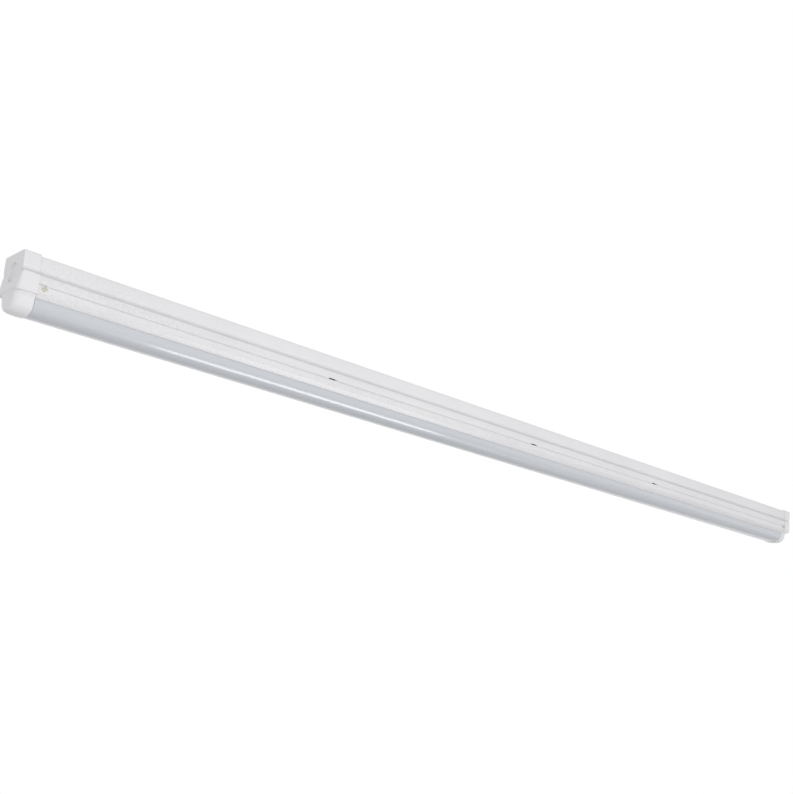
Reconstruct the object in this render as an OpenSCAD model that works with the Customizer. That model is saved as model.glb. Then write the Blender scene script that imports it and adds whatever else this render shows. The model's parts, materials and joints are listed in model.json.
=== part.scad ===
// Surface batten light: a white sheet-metal spine that screws to the ceiling,
// a gear tray that drops out of it, an opal D-shaped diffuser and two end caps.
// X runs along the light, +Z is up, and the ceiling lies at Z = 0.

/* [Overall] */
// Overall length over both end caps
length = 1812; // [1712:10:1912]
// Play between pieces that move against each other
gap = 0.3; // [0.25:0.05:0.4]
// Play around a pin or a fixed fitting in its hole
fit_gap = 0.05; // [0.03:0.01:0.08]

/* [Spine] */
// Thickness of the spine's and the gear tray's sheet
sheet_t = 0.8; // [0.6:0.1:0.9]
// Drop from the ceiling to the spine's top face, between the raised fixing pads
spine_drop = 2; // [1.8:0.1:2.2]
// Width across the spine's top face and its corners
top_w = 56; // [55.4:0.2:56.4]
// Radius of the corners beside the top face
top_r = 1.6; // [1.4:0.1:2]
// Width across the bulge in the upper walls
bulge_w = 58; // [57.4:0.2:58.8]
// Height from the top face to where the bulge turns in
wall_h = 16; // [15:0.5:17]
// Height of the bulge's rounded underside
bulge_turn_h = 3.6; // [3:0.2:4]
// Width across the groove between the bulge and the skirt
groove_w = 54; // [53.4:0.2:54.4]
// Height of the groove's flat wall
groove_h = 3.4; // [3:0.2:4]
// Rise of the ledge from the groove to the skirt
ledge_h = 1; // [0.6:0.1:1.4]
// Width across the skirt, the widest part of the spine
skirt_w = 61.6; // [61.2:0.2:62.2]
// Height of the skirt
skirt_h = 10.8; // [10.4:0.2:11.4]
// Distance between the two ceiling fixing slots
fixing_pitch = 1200; // [1150:10:1250]
// Width of a fixing slot
fixing_slot_w = 5; // [4.5:0.5:6]
// Length of a fixing slot
fixing_slot_len = 12; // [10:1:16]
// Length of a raised pad round a fixing slot
pad_len = 36; // [30:1:40]
// Width of a raised pad
pad_w = 20; // [16:1:24]
// Length of a levering notch in the skirt's lower edge
notch_len = 16; // [12:1:20]
// Height of a levering notch
notch_h = 1.5; // [1:0.1:2]
// Distance from the left end of the light to the first levering notch
notch_first = 475; // [466:1:486]
// Distance between levering notches
notch_pitch = 449; // [440:1:455]

/* [Gear tray] */
// Seam between the skirt's lower edge and the tray's side
seam_gap = 0.8; // [0.6:0.1:1]
// Height of the tray's tongue inside the skirt
tongue_h = 4.2; // [3.6:0.2:5]
// Height of the sloping joggle below the tongue
joggle_h = 0.6; // [0.5:0.1:0.7]
// Height of the tray's upright side
tray_side_h = 8.8; // [8.4:0.2:9.2]
// Height over which the side turns in
tray_turn_h = 6; // [5.6:0.1:6.4]
// Width across the tray's lower edges
tray_foot_w = 49.6; // [49.2:0.2:50]
// Width of the recess that the diffuser's legs stand in
recess_w = 45.8; // [45.6:0.2:46.2]
// Depth of that recess, up to the plate that carries the boards
recess_h = 3.7; // [3.4:0.1:4]

/* [Diffuser] */
// Width across the diffuser's sides
diffuser_w = 47.6; // [47.4:0.2:48.2]
// Straight height of the diffuser's sides
diffuser_side_h = 2; // [1.5:0.5:3]
// Height of the diffuser's curved bottom
diffuser_curve_h = 17.3; // [16.5:0.1:18.5]
// Fullness of the curve: 2 is an ellipse, more is squarer
diffuser_fullness = 2.4; // [2.2:0.1:2.6]
// Wall thickness of the diffuser
diffuser_t = 1.8; // [1.4:0.1:2.2]
// Thickness of the legs that stand in the tray
leg_t = 1.5; // [1.2:0.1:1.6]

/* [End caps] */
// Length of an end cap along the light
cap_len = 26; // [24:0.5:28]
// Wall thickness of an end cap
cap_t = 2; // [1.8:0.1:2.2]
// How far the caps stand proud of the spine's sides
cap_proud = 0.8; // [0.6:0.1:1]
// Depth of the lip's edge below the ceiling
lip_depth = 46.5; // [46:0.1:47]
// How far the lip stands out past the upper end face
lip_out = 4.9; // [4.4:0.1:5.4]
// How far the lip stands out past the lower end face
lip_step = 1.6; // [1.4:0.1:2]
// Height of the lip's bevelled underside
lip_bevel_h = 2.6; // [2:0.1:3]
// Corner radius at the top of the cap's skirt
cap_corner_top_r = 2.5; // [2.2:0.1:3]
// Corner radius at the lip
cap_corner_lip_r = 7; // [6.5:0.5:8]
// Length over which the cap's lower part keeps its full section
nose_rim = 9; // [8:0.5:10]
// Width of the lower end face
nose_w = 36; // [34:1:38]
// Depth of the lower end face's bottom below the ceiling
nose_depth = 69.6; // [69:0.2:70.4]
// Radius of the knock-out for a conduit
knockout_r = 12.5; // [12:0.1:12.8]
// Depth of the knock-out's centre below the ceiling
knockout_depth = 23.6; // [23.2:0.2:24]
// How far the knock-out's disc stands in from the upper end face
knockout_in = 2.2; // [1.8:0.1:2.4]
// Thickness left at the knock-out
knockout_t = 0.8; // [0.6:0.1:1]
// Reach of the cap's prongs into the spine
prong_reach = 12; // [10:1:13]
// Thickness of a prong
prong_t = 1.8; // [1.6:0.1:2.2]
// Height of a prong
prong_h = 15; // [12:1:16]

/* [Turn fasteners] */
// Distance from a cap's inner edge to a fastener's axis
fastener_inset = 7.5; // [7:0.5:8.5]
// Depth of the axis below the top of the tray's side
fastener_drop = 3.5; // [3.4:0.1:3.8]
// Radius of the head
fastener_head_r = 3.1; // [2.9:0.1:3.2]
// Height of the head
fastener_head_h = 1.5; // [1.2:0.1:1.8]
// Radius of the shank
fastener_shank_r = 2; // [1.8:0.1:2.1]
// Radius of the collar that keeps it in the tray
fastener_collar_r = 2.6; // [2.4:0.1:2.6]
// Length of the cam wing that clamps the hanger
wing_len = 9; // [8:0.5:9]
// Width of the cam wing
wing_w = 3.6; // [3:0.2:3.8]
// Thickness of the cam wing
wing_t = 2; // [1.6:0.2:2.2]
// Width of the screwdriver slot in the head
driver_slot_w = 1; // [0.8:0.1:1.2]

/* [Hangers] */
// Width of a hanger along the light
hanger_w = 12; // [11:0.5:12]
// Thickness of a hanger
hanger_t = 1; // [0.8:0.1:1.2]
// Distance from the hanger's lower edge up to the fastener's axis
hanger_below = 4.5; // [4:0.1:4.6]

/* [LED boards] */
// Number of LED boards end to end
board_count = 3; // [3:1:3]
// Width of a board
board_w = 23; // [22:0.5:23.5]
// Thickness of a board
board_t = 1.6; // [1:0.2:1.6]
// Space between boards
board_gap = 1; // [0.5:0.5:2]
// Space from the tray's end to the first board
board_margin = 6; // [4:1:8]
// Distance between LEDs
led_pitch = 12.5; // [11:0.5:14]
// Length of an LED along the light
led_len = 3.5; // [3:0.1:3.5]
// Width of an LED
led_w = 2.8; // [2.4:0.1:3.2]
// Height of an LED
led_h = 0.7; // [0.6:0.1:0.9]
// Room kept free of LEDs at each end of a board
led_margin = 12; // [10:1:14]
// Sideways place of the board rivets
rivet_y = 8; // [8:0.5:8.5]
// Radius of a board rivet's shank
rivet_r = 1.5; // [1.3:0.1:1.6]
// Distance from a board's end to its outer rivets
rivet_inset = 20; // [18:1:24]
// Size of a link between two boards: along, across, high
link_size = [14, 8, 4];
// Distance from the middle of the light to the supply connector
feed_x = -520; // [-525:5:-515]

/* [Driver] */
// Place of the driver's middle along the light
driver_x = -330; // [-335:5:-325]
// Length of the driver's case
driver_len = 280; // [270:5:280]
// Width of the driver's case
driver_w = 30; // [28:1:30]
// Height of the driver's case without its lid
driver_h = 20; // [18:1:20]
// Wall thickness of the driver's case
driver_t = 1; // [0.8:0.1:1.2]
// Height of the case above the tray
driver_lift = 1.5; // [1.4:0.1:1.8]
// Distance between the driver's feet along the light
foot_pitch = 200; // [190:5:210]
// Reach of a foot past the case's side
foot_reach = 6.5; // [6:0.5:6.5]
// Height of the board above the floor of the case
pcb_lift = 3; // [2:0.5:3.5]
// Size of a driver terminal: along, across, high
driver_terminal_size = [12, 24, 14];

/* [Terminal block] */
// Size of the terminal block: along, across, high
block_size = [40, 28, 16];
// Distance between its three poles
pole_pitch = 8; // [7.6:0.2:8.4]
// Side of a square push button
button_w = 5; // [4.6:0.1:5.2]
// Travel of a push button
button_travel = 2; // [1.5:0.1:2]
// How far a button stands out at rest
button_out = 2.5; // [2.5:0.1:3]
// Length of a button inside the block
button_stem = 5.6; // [5:0.1:5.8]
// Length of the shoulder that keeps a button in the block
shoulder_len = 8; // [7:0.2:8.4]
// Thickness of the ledge under the shoulders
ledge_t = 1.5; // [1.2:0.1:2]
// Radius of a wire entry
wire_entry_r = 1.8; // [1.5:0.1:1.9]

/* [Socket and plug] */
// Place of the socket's near side along the light
socket_x = 70; // [68:1:74]
// Size of the socket and of the plug: along and across
socket_len = 34; // [32:1:36]
socket_w = 18; // [17:1:20]
// Height of the socket under the spine's sheet
socket_h = 24; // [22:1:25]
// Distance between the pins
pin_pitch = 10; // [9:0.5:11]
// Radius of a pin
pin_r = 1.2; // [1:0.1:1.3]
// Length of a pin
pin_len = 9; // [8:0.5:9.5]
// Wall of the contact sleeves round the pins
sleeve_t = 0.5; // [0.4:0.1:0.6]

/* [Earth studs] */
// Place of both earth studs along the light
earth_x = 45; // [44:1:46]
// Sideways place of the earth studs
earth_y = 17; // [16.5:0.5:17.5]
// Radius of an earth stud
stud_r = 2; // [1.8:0.1:2]
// Length of an earth stud
stud_len = 7; // [6:0.5:8]
// Width across the flats of its nut
nut_w = 7; // [6.5:0.5:7]
// Height of the nut
nut_h = 3.2; // [2.8:0.2:3.4]
// Thickness of the cable tag under the nut
tag_t = 0.8; // [0.6:0.1:1]

/* [Cable entry] */
// Place of the cable entry along the light
entry_x = -110; // [-120:5:-100]
// Distance from the right end of the light to the spare entry, which is blanked off
spare_inset = 266; // [246:5:276]
// Radius of an entry hole in the spine
entry_hole_r = 10; // [9:0.5:10.5]
// Radius of the cable's way through the grommet
entry_bore_r = 4.5; // [4:0.5:5]
// Height of the grommet below the spine's top face
grommet_h = 8; // [7:0.5:9]
// How far the grommet's flange reaches past the hole
grommet_rim = 2.5; // [2:0.5:3]

/* [Diffuser clips] */
// Distance between diffuser clips
clip_pitch = 300; // [290:5:300]
// Width of a clip along the light
clip_w = 10; // [8:1:12]
// Thickness of a clip
clip_t = 0.5; // [0.4:0.1:0.6]
// Sideways place of a clip's rivet
clip_rivet_y = 17; // [16.5:0.5:17]

/* [Wires] */
// Radius of a mains wire
mains_wire_r = 1.2; // [1:0.1:1.3]
// Radius of a wire to the LED boards
led_wire_r = 0.8; // [0.6:0.1:0.9]

/* [Hidden] */
$fn = 48;

// A hair added to cutters so that they pass right through
over = 0.1;
// A smaller one that keeps two end faces from sharing a plane
hair = 0.05;

// Half widths of the section
top_half = top_w / 2;
bulge_half = bulge_w / 2;
groove_half = groove_w / 2;
skirt_half = skirt_w / 2;
tongue_half = skirt_half - sheet_t - gap - 0.2;
foot_half = tray_foot_w / 2;
recess_half = recess_w / 2;
diffuser_half = diffuser_w / 2;
leg_half = recess_half - gap;

// Heights of the section, from the ceiling down
top_z = -spine_drop;
bulge_z = top_z - wall_h;
groove_top_z = bulge_z - bulge_turn_h;
groove_low_z = groove_top_z - groove_h;
skirt_top_z = groove_low_z - ledge_h;
skirt_low_z = skirt_top_z - skirt_h;
tray_top_z = skirt_low_z - seam_gap;
tray_side_z = tray_top_z - tray_side_h;
tray_low_z = tray_side_z - tray_turn_h;
plate_z = tray_low_z + recess_h;
floor_z = plate_z + sheet_t;
diffuser_top_z = tray_low_z - gap;
diffuser_side_z = diffuser_top_z - diffuser_side_h;
diffuser_low_z = diffuser_side_z - diffuser_curve_h;

// Ends of the pieces along the light
end_x = length / 2;
spine_end = end_x - cap_len - gap;
tray_end = end_x - cap_len - gap;
fastener_x = end_x - cap_len - fastener_inset;
spare_x = end_x - spare_inset;
fastener_z = tray_top_z - fastener_drop;
lip_z = -lip_depth;
nose_top_z = lip_z - lip_bevel_h;
nose_low_z = diffuser_low_z - cap_proud;
nose_overlap = 2;
nose_half = skirt_half - (skirt_half - foot_half) * (tray_side_z - nose_top_z) / tray_turn_h;

// Boards
board_len = (2 * (tray_end - board_margin) - (board_count - 1) * board_gap) / board_count;
board_z = plate_z - board_t;
led_count = floor((board_len - 2 * led_margin) / led_pitch) + 1;

// Driver
driver_floor_z = floor_z + driver_lift;
driver_top_z = driver_floor_z + driver_h;
foot_y = driver_w / 2 + 3.5;
driver_right_x = driver_x + driver_len / 2;
driver_left_x = driver_x - driver_len / 2;
input_end_x = driver_right_x + driver_terminal_size[0];
output_end_x = driver_left_x - driver_terminal_size[0];

// Terminal block, socket and plug hang under the spine's sheet
sheet_low_z = top_z - sheet_t;
block_low_z = sheet_low_z - block_size[2];
block_end_x = block_size[0] / 2;
socket_low_z = sheet_low_z - socket_h;
plug_top_z = socket_low_z - gap;
sleeve_bore_r = pin_r + gap;
sleeve_r = sleeve_bore_r + sleeve_t;
wire_out_z = sheet_low_z - 8.2;
mains_spread = 3;
entry_rim_t = 1.8;

// Holes for the tray's grommet
feed_y = 16.3;
feed_hole_r = 3.7;

white = [0.93, 0.93, 0.93];
opal = [0.86, 0.88, 0.92];
zinc = [0.78, 0.78, 0.74];
brass = [0.8, 0.66, 0.35];
copper_wire = [0.45, 0.3, 0.2];

// Points on an ellipse's arc round a centre, with half sizes ry and rz
function arc_points(cy, cz, ry, rz, from, to, n) =
    [for (i = [0 : n]) let (a = from + (to - from) * i / n) [cy + ry * cos(a), cz + rz * sin(a)]];

// The other half of an outline, mirrored across the middle and reversed
function mirrored(p) = [for (i = [len(p) - 1 : -1 : 0]) [-p[i][0], p[i][1]]];

function both_sides(p) = concat(mirrored(p), p);

// The same for an outline whose last point lies on the middle
function both_sides_closed(p) = concat(p, [for (i = [len(p) - 2 : -1 : 0]) [-p[i][0], p[i][1]]]);

function unit(v) = v / norm(v);

function left_normal(a, b) = let (d = unit(b - a)) [-d[1], d[0]];

// Point i of a path moved sideways by t, with mitred corners
function shifted(p, i, t) =
    let (
        n0 = i == 0 ? left_normal(p[0], p[1]) : left_normal(p[i - 1], p[i]),
        n1 = i == len(p) - 1 ? n0 : left_normal(p[i], p[i + 1]),
        m = unit(n0 + n1)
    )
    p[i] + m * t / (m * n1);

function shifted_path(p, t) = [for (i = [0 : len(p) - 1]) shifted(p, i, t)];

// A folded sheet: a path and the same path moved by the sheet's thickness
function sheet_outline(p, t) =
    let (q = shifted_path(p, t)) concat(p, [for (i = [len(q) - 1 : -1 : 0]) q[i]]);

// The bulge's side and the walls under it, down to the skirt's edge
function spine_side() = concat(
    [[bulge_half - 0.3, top_z - wall_h / 2], [bulge_half, top_z - wall_h * 0.7]],
    arc_points(groove_half, bulge_z, bulge_half - groove_half, bulge_turn_h, 0, -90, 6),
    [[groove_half, groove_low_z], [skirt_half, skirt_top_z], [skirt_half, skirt_low_z]]
);

// Outer face of the spine from the top face's corner down to the skirt's edge
function spine_half() =
    concat(arc_points(top_half - top_r, top_z - top_r, top_r, top_r, 90, 15, 4), spine_side());

// Outer face of the gear tray from the recess's plate out and up to the tongue
function tray_half() = [
    [recess_half, plate_z], [recess_half, tray_low_z], [foot_half, tray_low_z],
    [skirt_half, tray_side_z], [skirt_half, tray_top_z],
    [tongue_half, tray_top_z + joggle_h], [tongue_half, tray_top_z + joggle_h + tongue_h]
];

// Half of the diffuser's curved bottom, inset by t, from its side to the middle
function diffuser_curve(t) = [
    for (i = [0 : 16]) let (a = 90 * i / 16)
    [
        (diffuser_half - t) * pow(cos(a), 2 / diffuser_fullness),
        diffuser_side_z - (diffuser_curve_h - t) * pow(sin(a), 2 / diffuser_fullness)
    ]
];

// Extrudes a drawing in Y and Z along the light
module along_x(from, to) {
    translate([from, 0, 0]) rotate([90, 0, 90]) linear_extrude(to - from) children();
}

// A block given by its middle in X and Y, its underside and its size
module block(x, y, z, size) {
    translate([x - size[0] / 2, y - size[1] / 2, z]) cube(size);
}

// An upright cylinder that stands on z
module post(x, y, z, r, h) {
    translate([x, y, z]) cylinder(r = r, h = h);
}

// One of the level strips that an end face of n corners is made of
function strip(k, n) = k + 1 == n - 2 - k ? [k, k + 1, k + 2] : [k, k + 1, n - 2 - k, n - 1 - k];

// A solid through rings of corners, which turn the right-hand way round the direction of travel
module loft(rings) {
    sides = len(rings[0]);
    last = (len(rings) - 1) * sides;
    walls = [for (i = [0 : len(rings) - 2]) for (k = [0 : sides - 1]) let (
        a = i * sides + k,
        b = i * sides + (k + 1) % sides
    ) each [[a, a + sides, b], [b, a + sides, b + sides]]];
    near_end = [for (k = [0 : ceil(sides / 2) - 2]) strip(k, sides)];
    far_end = [for (s = near_end) [for (i = [len(s) - 1 : -1 : 0]) last + s[i]]];
    polyhedron(points = [for (r = rings) each r], faces = concat(near_end, walls, far_end));
}

// A wire swept along a route, with one ring of eight corners at each point
module wire(route, r) {
    sides = 8;
    lean = unit([1, 2, 4]);
    n = len(route);
    loft([for (i = [0 : n - 1]) let (
        t = unit(route[min(i + 1, n - 1)] - route[max(i - 1, 0)]),
        u = unit(cross(t, lean)),
        v = cross(t, u)
    ) [for (k = [0 : sides - 1]) let (a = 360 * k / sides) route[i] + r * (cos(a) * u + sin(a) * v)]]);
}

module spine() {
    color(white) difference() {
        union() {
            along_x(-spine_end, spine_end) polygon(sheet_outline(both_sides(spine_half()), -sheet_t));
            for (side = [-1, 1])
                block(side * fixing_pitch / 2, 0, sheet_low_z, [pad_len, pad_w, -sheet_low_z]);
        }
        for (side = [-1, 1]) fixing_slot(side * fixing_pitch / 2);
        for (x = [entry_x, spare_x]) post(x, 0, sheet_low_z - over, entry_hole_r, sheet_t + 2 * over);
        for (x = [notch_first : notch_pitch : length - notch_first / 2]) skirt_notch(x - end_x, notch_len);
        for (side = [-1, 1]) skirt_notch(side * (fastener_x + 4), 13);
    }
}

// The hollow of a raised pad and the slotted hole through it
module fixing_slot(x) {
    reach = (fixing_slot_len - fixing_slot_w) / 2;
    block(x, 0, sheet_low_z - over, [pad_len - 2 * sheet_t, pad_w - 2 * sheet_t, spine_drop + over]);
    for (side = [-1, 1]) post(x + side * reach, 0, -sheet_t - over, fixing_slot_w / 2, sheet_t + 2 * over);
    block(x, 0, -sheet_t - over, [2 * reach, fixing_slot_w, sheet_t + 2 * over]);
}

// A notch in the lower edge of both skirts
module skirt_notch(x, len) {
    block(x, 0, skirt_low_z - over, [len, skirt_w + 2, notch_h + over]);
}

// A stirrup inside each end of the spine, with a notch for the fastener in each leg
module hanger(side) {
    leg = groove_half - sheet_t - 0.5;
    low = fastener_z - hanger_below;
    color(zinc) difference() {
        block(side * fastener_x, 0, low, [hanger_w, 2 * leg, sheet_low_z - low]);
        block(side * fastener_x, 0, low - over,
            [hanger_w + 2, 2 * (leg - hanger_t), sheet_low_z - hanger_t - low + over]);
        translate([side * fastener_x, 0, fastener_z]) rotate([90, 0, 0])
            cylinder(r = fastener_shank_r + gap, h = 3 * leg, center = true);
        block(side * fastener_x, 0, low - over,
            [2 * (fastener_shank_r + gap), 3 * leg, hanger_below + over]);
    }
}

// A cap's open end, which the hollow's cutter, inset by t, passes right through
function open_x(t) = t > 0 ? cap_len + over : cap_len;

// Plan of a cap's skirt: square at the inner edge and rounded at the outer corners
function cap_plan(from, to, half, r) = concat(
    [[to, half], [to, -half]],
    arc_points(from + r, -half + r, r, r, 270, 180, 8),
    arc_points(from + r, half - r, r, r, 180, 90, 8)
);

module cap_slab(z, from, to, half, r) {
    translate([0, 0, z]) linear_extrude(0.05) polygon(cap_plan(from, to, half, r));
}

// The cap's skirt and its lip, inset by t
module cap_skirt(t) {
    half = skirt_half + cap_proud - t;
    to = open_x(t);
    hull() {
        cap_slab(skirt_top_z + cap_proud - 0.05 - t, lip_out + t, to, half, max(cap_corner_top_r - t, 0.4));
        cap_slab(lip_z, t, to, half, cap_corner_lip_r - t);
        cap_slab(nose_top_z + t / 2, lip_step + t, to, half, cap_corner_lip_r - t);
    }
}

// Section of the cap's lower part, inset by t and drawn smaller by the shares sy and sz
function nose_ring(x, t, sy, sz) =
    let (
        top = nose_top_z + t / 2,
        wide = sy * (skirt_half + cap_proud - t) / skirt_half,
        high = sz * (top - nose_low_z - t) / (nose_top_z - diffuser_low_z),
        wall = [for (z = [nose_top_z + nose_overlap, nose_top_z]) [nose_half, z]],
        outline = both_sides_closed(concat(wall, [[foot_half, tray_low_z]], diffuser_curve(0)))
    )
    [for (p = outline) [x, p[0] * wide, top + (p[1] - nose_top_z) * high]];

// The cap's lower part, inset by t: full at its open side and rounded towards the end face
module cap_nose(t) {
    start = cap_len - nose_rim;
    reach = start - lip_step - t - hair;
    sy = nose_w / 2 / skirt_half;
    sz = (nose_top_z + nose_depth) / (nose_top_z - nose_low_z);
    rounded = [for (a = [0 : 22.5 : 90])
        nose_ring(start - reach * sin(a), t, sy + (1 - sy) * cos(a), sz + (1 - sz) * cos(a))];
    loft(concat([nose_ring(open_x(t) - hair, t, 1, 1)], rounded));
}

// The cap's upper part, over the spine's end and up to the ceiling
module cap_head(t) {
    r = top_r + cap_proud;
    top = arc_points(top_half - top_r, -r, r - t, r - t, 90, 15, 4);
    walls = [for (p = shifted_path(spine_side(), cap_proud - t)) if (p[1] > skirt_top_z) p];
    foot = [groove_half + cap_proud - t, skirt_top_z - cap_t - 1];
    along_x(lip_out + t, open_x(t)) polygon(both_sides(concat(top, walls, [foot])));
}

// The boss that holds the knock-out's disc is wider than the disc by this
boss_rim = 1.5;

// A round through a cap's end, from just outside it to x
module knockout_post(r, x) {
    translate([-over, 0, -knockout_depth]) rotate([0, 90, 0]) cylinder(r = r, h = x + over);
}

// A cap whose outer end lies at X = 0 and whose open side faces +X
module cap() {
    disc_x = lip_out + knockout_in;
    difference() {
        union() {
            cap_head(0);
            cap_skirt(0);
            cap_nose(0);
        }
        difference() {
            union() {
                cap_head(cap_t);
                cap_skirt(cap_t);
                cap_nose(cap_t);
            }
            knockout_post(knockout_r + boss_rim, disc_x + knockout_t);
        }
        knockout_post(knockout_r, disc_x);
    }
    prong_y = groove_half - sheet_t - 0.5 - hanger_t - gap - prong_t / 2;
    prong_len = cap_len + prong_reach - lip_out - cap_t;
    for (side = [-1, 1])
        block(lip_out + cap_t + prong_len / 2, side * prong_y, sheet_low_z - hanger_t - 0.8 - prong_h,
            [prong_len, prong_t, prong_h]);
}

module end_cap(side) {
    color(white) translate([side * end_x, 0, 0]) rotate(side < 0 ? 0 : 180) cap();
}

// A captive quarter-turn fastener, drawn on the back side with its head at +Y
module turn_fastener(x_side, y_side) {
    inner = groove_half - sheet_t - 0.5 - hanger_t - gap;
    head_y = skirt_half + 0.2;
    color(zinc) translate([x_side * fastener_x, 0, fastener_z]) rotate(y_side > 0 ? 0 : 180) {
        translate([0, head_y + fastener_head_h, 0]) rotate([90, 0, 0]) difference() {
            cylinder(r = fastener_head_r, h = fastener_head_h);
            translate([-driver_slot_w / 2, -5, -over]) cube([driver_slot_w, 10, 0.8]);
            translate([-5, -driver_slot_w / 2, -over]) cube([10, driver_slot_w, 0.8]);
        }
        translate([0, head_y, 0]) rotate([90, 0, 0])
            cylinder(r = fastener_shank_r, h = head_y - inner + wing_t);
        translate([0, skirt_half - sheet_t - gap, 0]) rotate([90, 0, 0])
            cylinder(r = fastener_collar_r, h = 0.7);
        block(0, inner - wing_t / 2, -wing_w / 2, [wing_len, wing_t, wing_w]);
    }
}

// Sideways place of each pole of the terminal block
function pole_y(i) = (i - 1) * pole_pitch;

// Room for a button and for the clamp that stands over it
pocket_w = button_w + 2 * gap;
clamp_low_z = block_low_z + button_stem + button_travel + gap;
clamp_len = 12;
clamp_w = 5.2;
clamp_h = 4;

module terminal_block() {
    color([0.9, 0.9, 0.88]) difference() {
        block(0, 0, block_low_z, block_size);
        for (i = [0 : 2]) {
            block(0, pole_y(i), block_low_z - over, [button_w + 2 * gap, pocket_w, ledge_t + 2 * over]);
            block(0, pole_y(i), block_low_z + ledge_t,
                [shoulder_len + 2 * gap, pocket_w, clamp_low_z - block_low_z - ledge_t]);
            block(0, pole_y(i), clamp_low_z - over, [clamp_len + 0.4, clamp_w + 0.4, clamp_h + 0.3]);
            translate([-block_end_x - over, pole_y(i), clamp_low_z + clamp_h / 2]) rotate([0, 90, 0])
                cylinder(r = wire_entry_r, h = block_end_x);
        }
    }
}

// A brass cage over each button, open towards the wire entry
module terminal_clamps() {
    color(brass) for (i = [0 : 2]) difference() {
        block(0, pole_y(i), clamp_low_z, [clamp_len, clamp_w, clamp_h]);
        block(-1, pole_y(i), clamp_low_z + 0.8, [clamp_len, clamp_w - 1.6, clamp_h - 1.6]);
    }
}

module button(i) {
    shoulder_z = block_low_z + ledge_t + gap;
    color([0.95, 0.5, 0.2]) {
        block(0, pole_y(i), block_low_z - button_out, [button_w, button_w, button_out + button_stem]);
        block(0, pole_y(i), shoulder_z, [shoulder_len, button_w, block_low_z + button_stem - shoulder_z]);
    }
}

// Place of pin i along the light
function pin_x(i) = socket_x + socket_len / 2 + (i - 1) * pin_pitch;

module socket() {
    color([0.9, 0.9, 0.88]) difference() {
        block(socket_x + socket_len / 2, 0, socket_low_z, [socket_len, socket_w, socket_h]);
        for (i = [0 : 2])
            post(pin_x(i), 0, socket_low_z - over, sleeve_r + fit_gap, pin_len + 2 + over);
    }
}

module socket_contacts() {
    color(brass) for (i = [0 : 2]) difference() {
        post(pin_x(i), 0, socket_low_z + 0.5, sleeve_r, pin_len + 1.5);
        post(pin_x(i), 0, socket_low_z, sleeve_bore_r, pin_len + 1);
    }
}

// From the terminal block's right side to the socket's left side, sagging a little
function socket_route(k) =
    let (y0 = k * pole_pitch, y1 = k * 5, x0 = block_end_x, x1 = socket_x, z = wire_out_z) [
        [x0, y0, z], [x0 + 4, y0, z], [x0 + 14, y0 * 0.9 + y1 * 0.1, z - 2],
        [x0 + 25, (y0 + y1) / 2, z - 3], [x1 - 14, y0 * 0.1 + y1 * 0.9, z - 2],
        [x1 - 4, y1, z], [x1, y1, z]
    ];

module socket_wires() {
    color(copper_wire) for (k = [-1 : 1]) wire(socket_route(k), mains_wire_r);
}

// An earth stud, its nut and its tag, which hang or stand on a face at z
module stud(y, z, up) {
    color(brass) post(earth_x, y, up > 0 ? z : z - stud_len, stud_r, stud_len);
}

module stud_nut(y, z, up) {
    low = up > 0 ? z + tag_t : z - tag_t - nut_h;
    color(brass) difference() {
        translate([earth_x, y, low]) cylinder(r = nut_w / sqrt(3), h = nut_h, $fn = 6);
        post(earth_x, y, low - over, stud_r + fit_gap, nut_h + 2 * over);
    }
}

// A ring tag whose tail points along X, away from the stud
module tag(y, z, up, tail) {
    low = up > 0 ? z : z - tag_t;
    difference() {
        union() {
            post(earth_x, y, low, stud_r + 2, tag_t);
            block(earth_x + tail / 2, y, low, [abs(tail), 3, tag_t]);
        }
        post(earth_x, y, low - over, stud_r + fit_gap, tag_t + 2 * over);
    }
}

spine_tail = -13;
tray_tail = 13;

module earth_stud() {
    stud(earth_y, sheet_low_z, -1);
}

module earth_nut() {
    stud_nut(earth_y, sheet_low_z, -1);
}

module earth_lead() {
    z = sheet_low_z - mains_wire_r - 0.2;
    x = earth_x + spine_tail;
    color([0.35, 0.6, 0.25]) {
        tag(earth_y, sheet_low_z, -1, spine_tail);
        wire([
            [x, earth_y, z], [x - 2.5, earth_y, z], [x - 4.5, earth_y - 1, z - 1],
            [x - 6.5, earth_y - 3.5, z - 2.6], [x - 8.2, 12, z - 3.6],
            [block_end_x + 2.5, 12, z - 3.8], [block_end_x, 12, z - 3.8]
        ], mains_wire_r);
    }
}

// A disc that fills an entry hole flush with the top face, and its rim under the sheet
module entry_plug(x) {
    post(x, 0, sheet_low_z, entry_hole_r - fit_gap, sheet_t);
    post(x, 0, sheet_low_z - entry_rim_t, entry_hole_r + grommet_rim, entry_rim_t);
}

module entry_grommet() {
    color([0.25, 0.25, 0.26]) difference() {
        union() {
            post(entry_x, 0, top_z - grommet_h, entry_hole_r - 3, grommet_h);
            entry_plug(entry_x);
        }
        post(entry_x, 0, top_z - grommet_h - over, entry_bore_r, grommet_h + 2 * over);
    }
}

module entry_blank() {
    color([0.85, 0.85, 0.85]) entry_plug(spare_x);
}

// Middle of board i along the light, and the places of its three rivets
function board_x(i) = (i - (board_count - 1) / 2) * (board_len + board_gap);

function rivet_points() = [
    for (i = [0 : board_count - 1]) for (k = [-1 : 1])
    [board_x(i) + k * (board_len / 2 - rivet_inset), rivet_y * (k == 0 ? -1 : 1)]
];

// Places of the diffuser's clips on one side
function clip_xs() = [for (k = [-2.5 : 1 : 2.5]) k * clip_pitch];

function foot_points() = [for (i = [-1, 1]) for (j = [-1, 1]) [driver_x + i * foot_pitch / 2, j * foot_y]];

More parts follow.
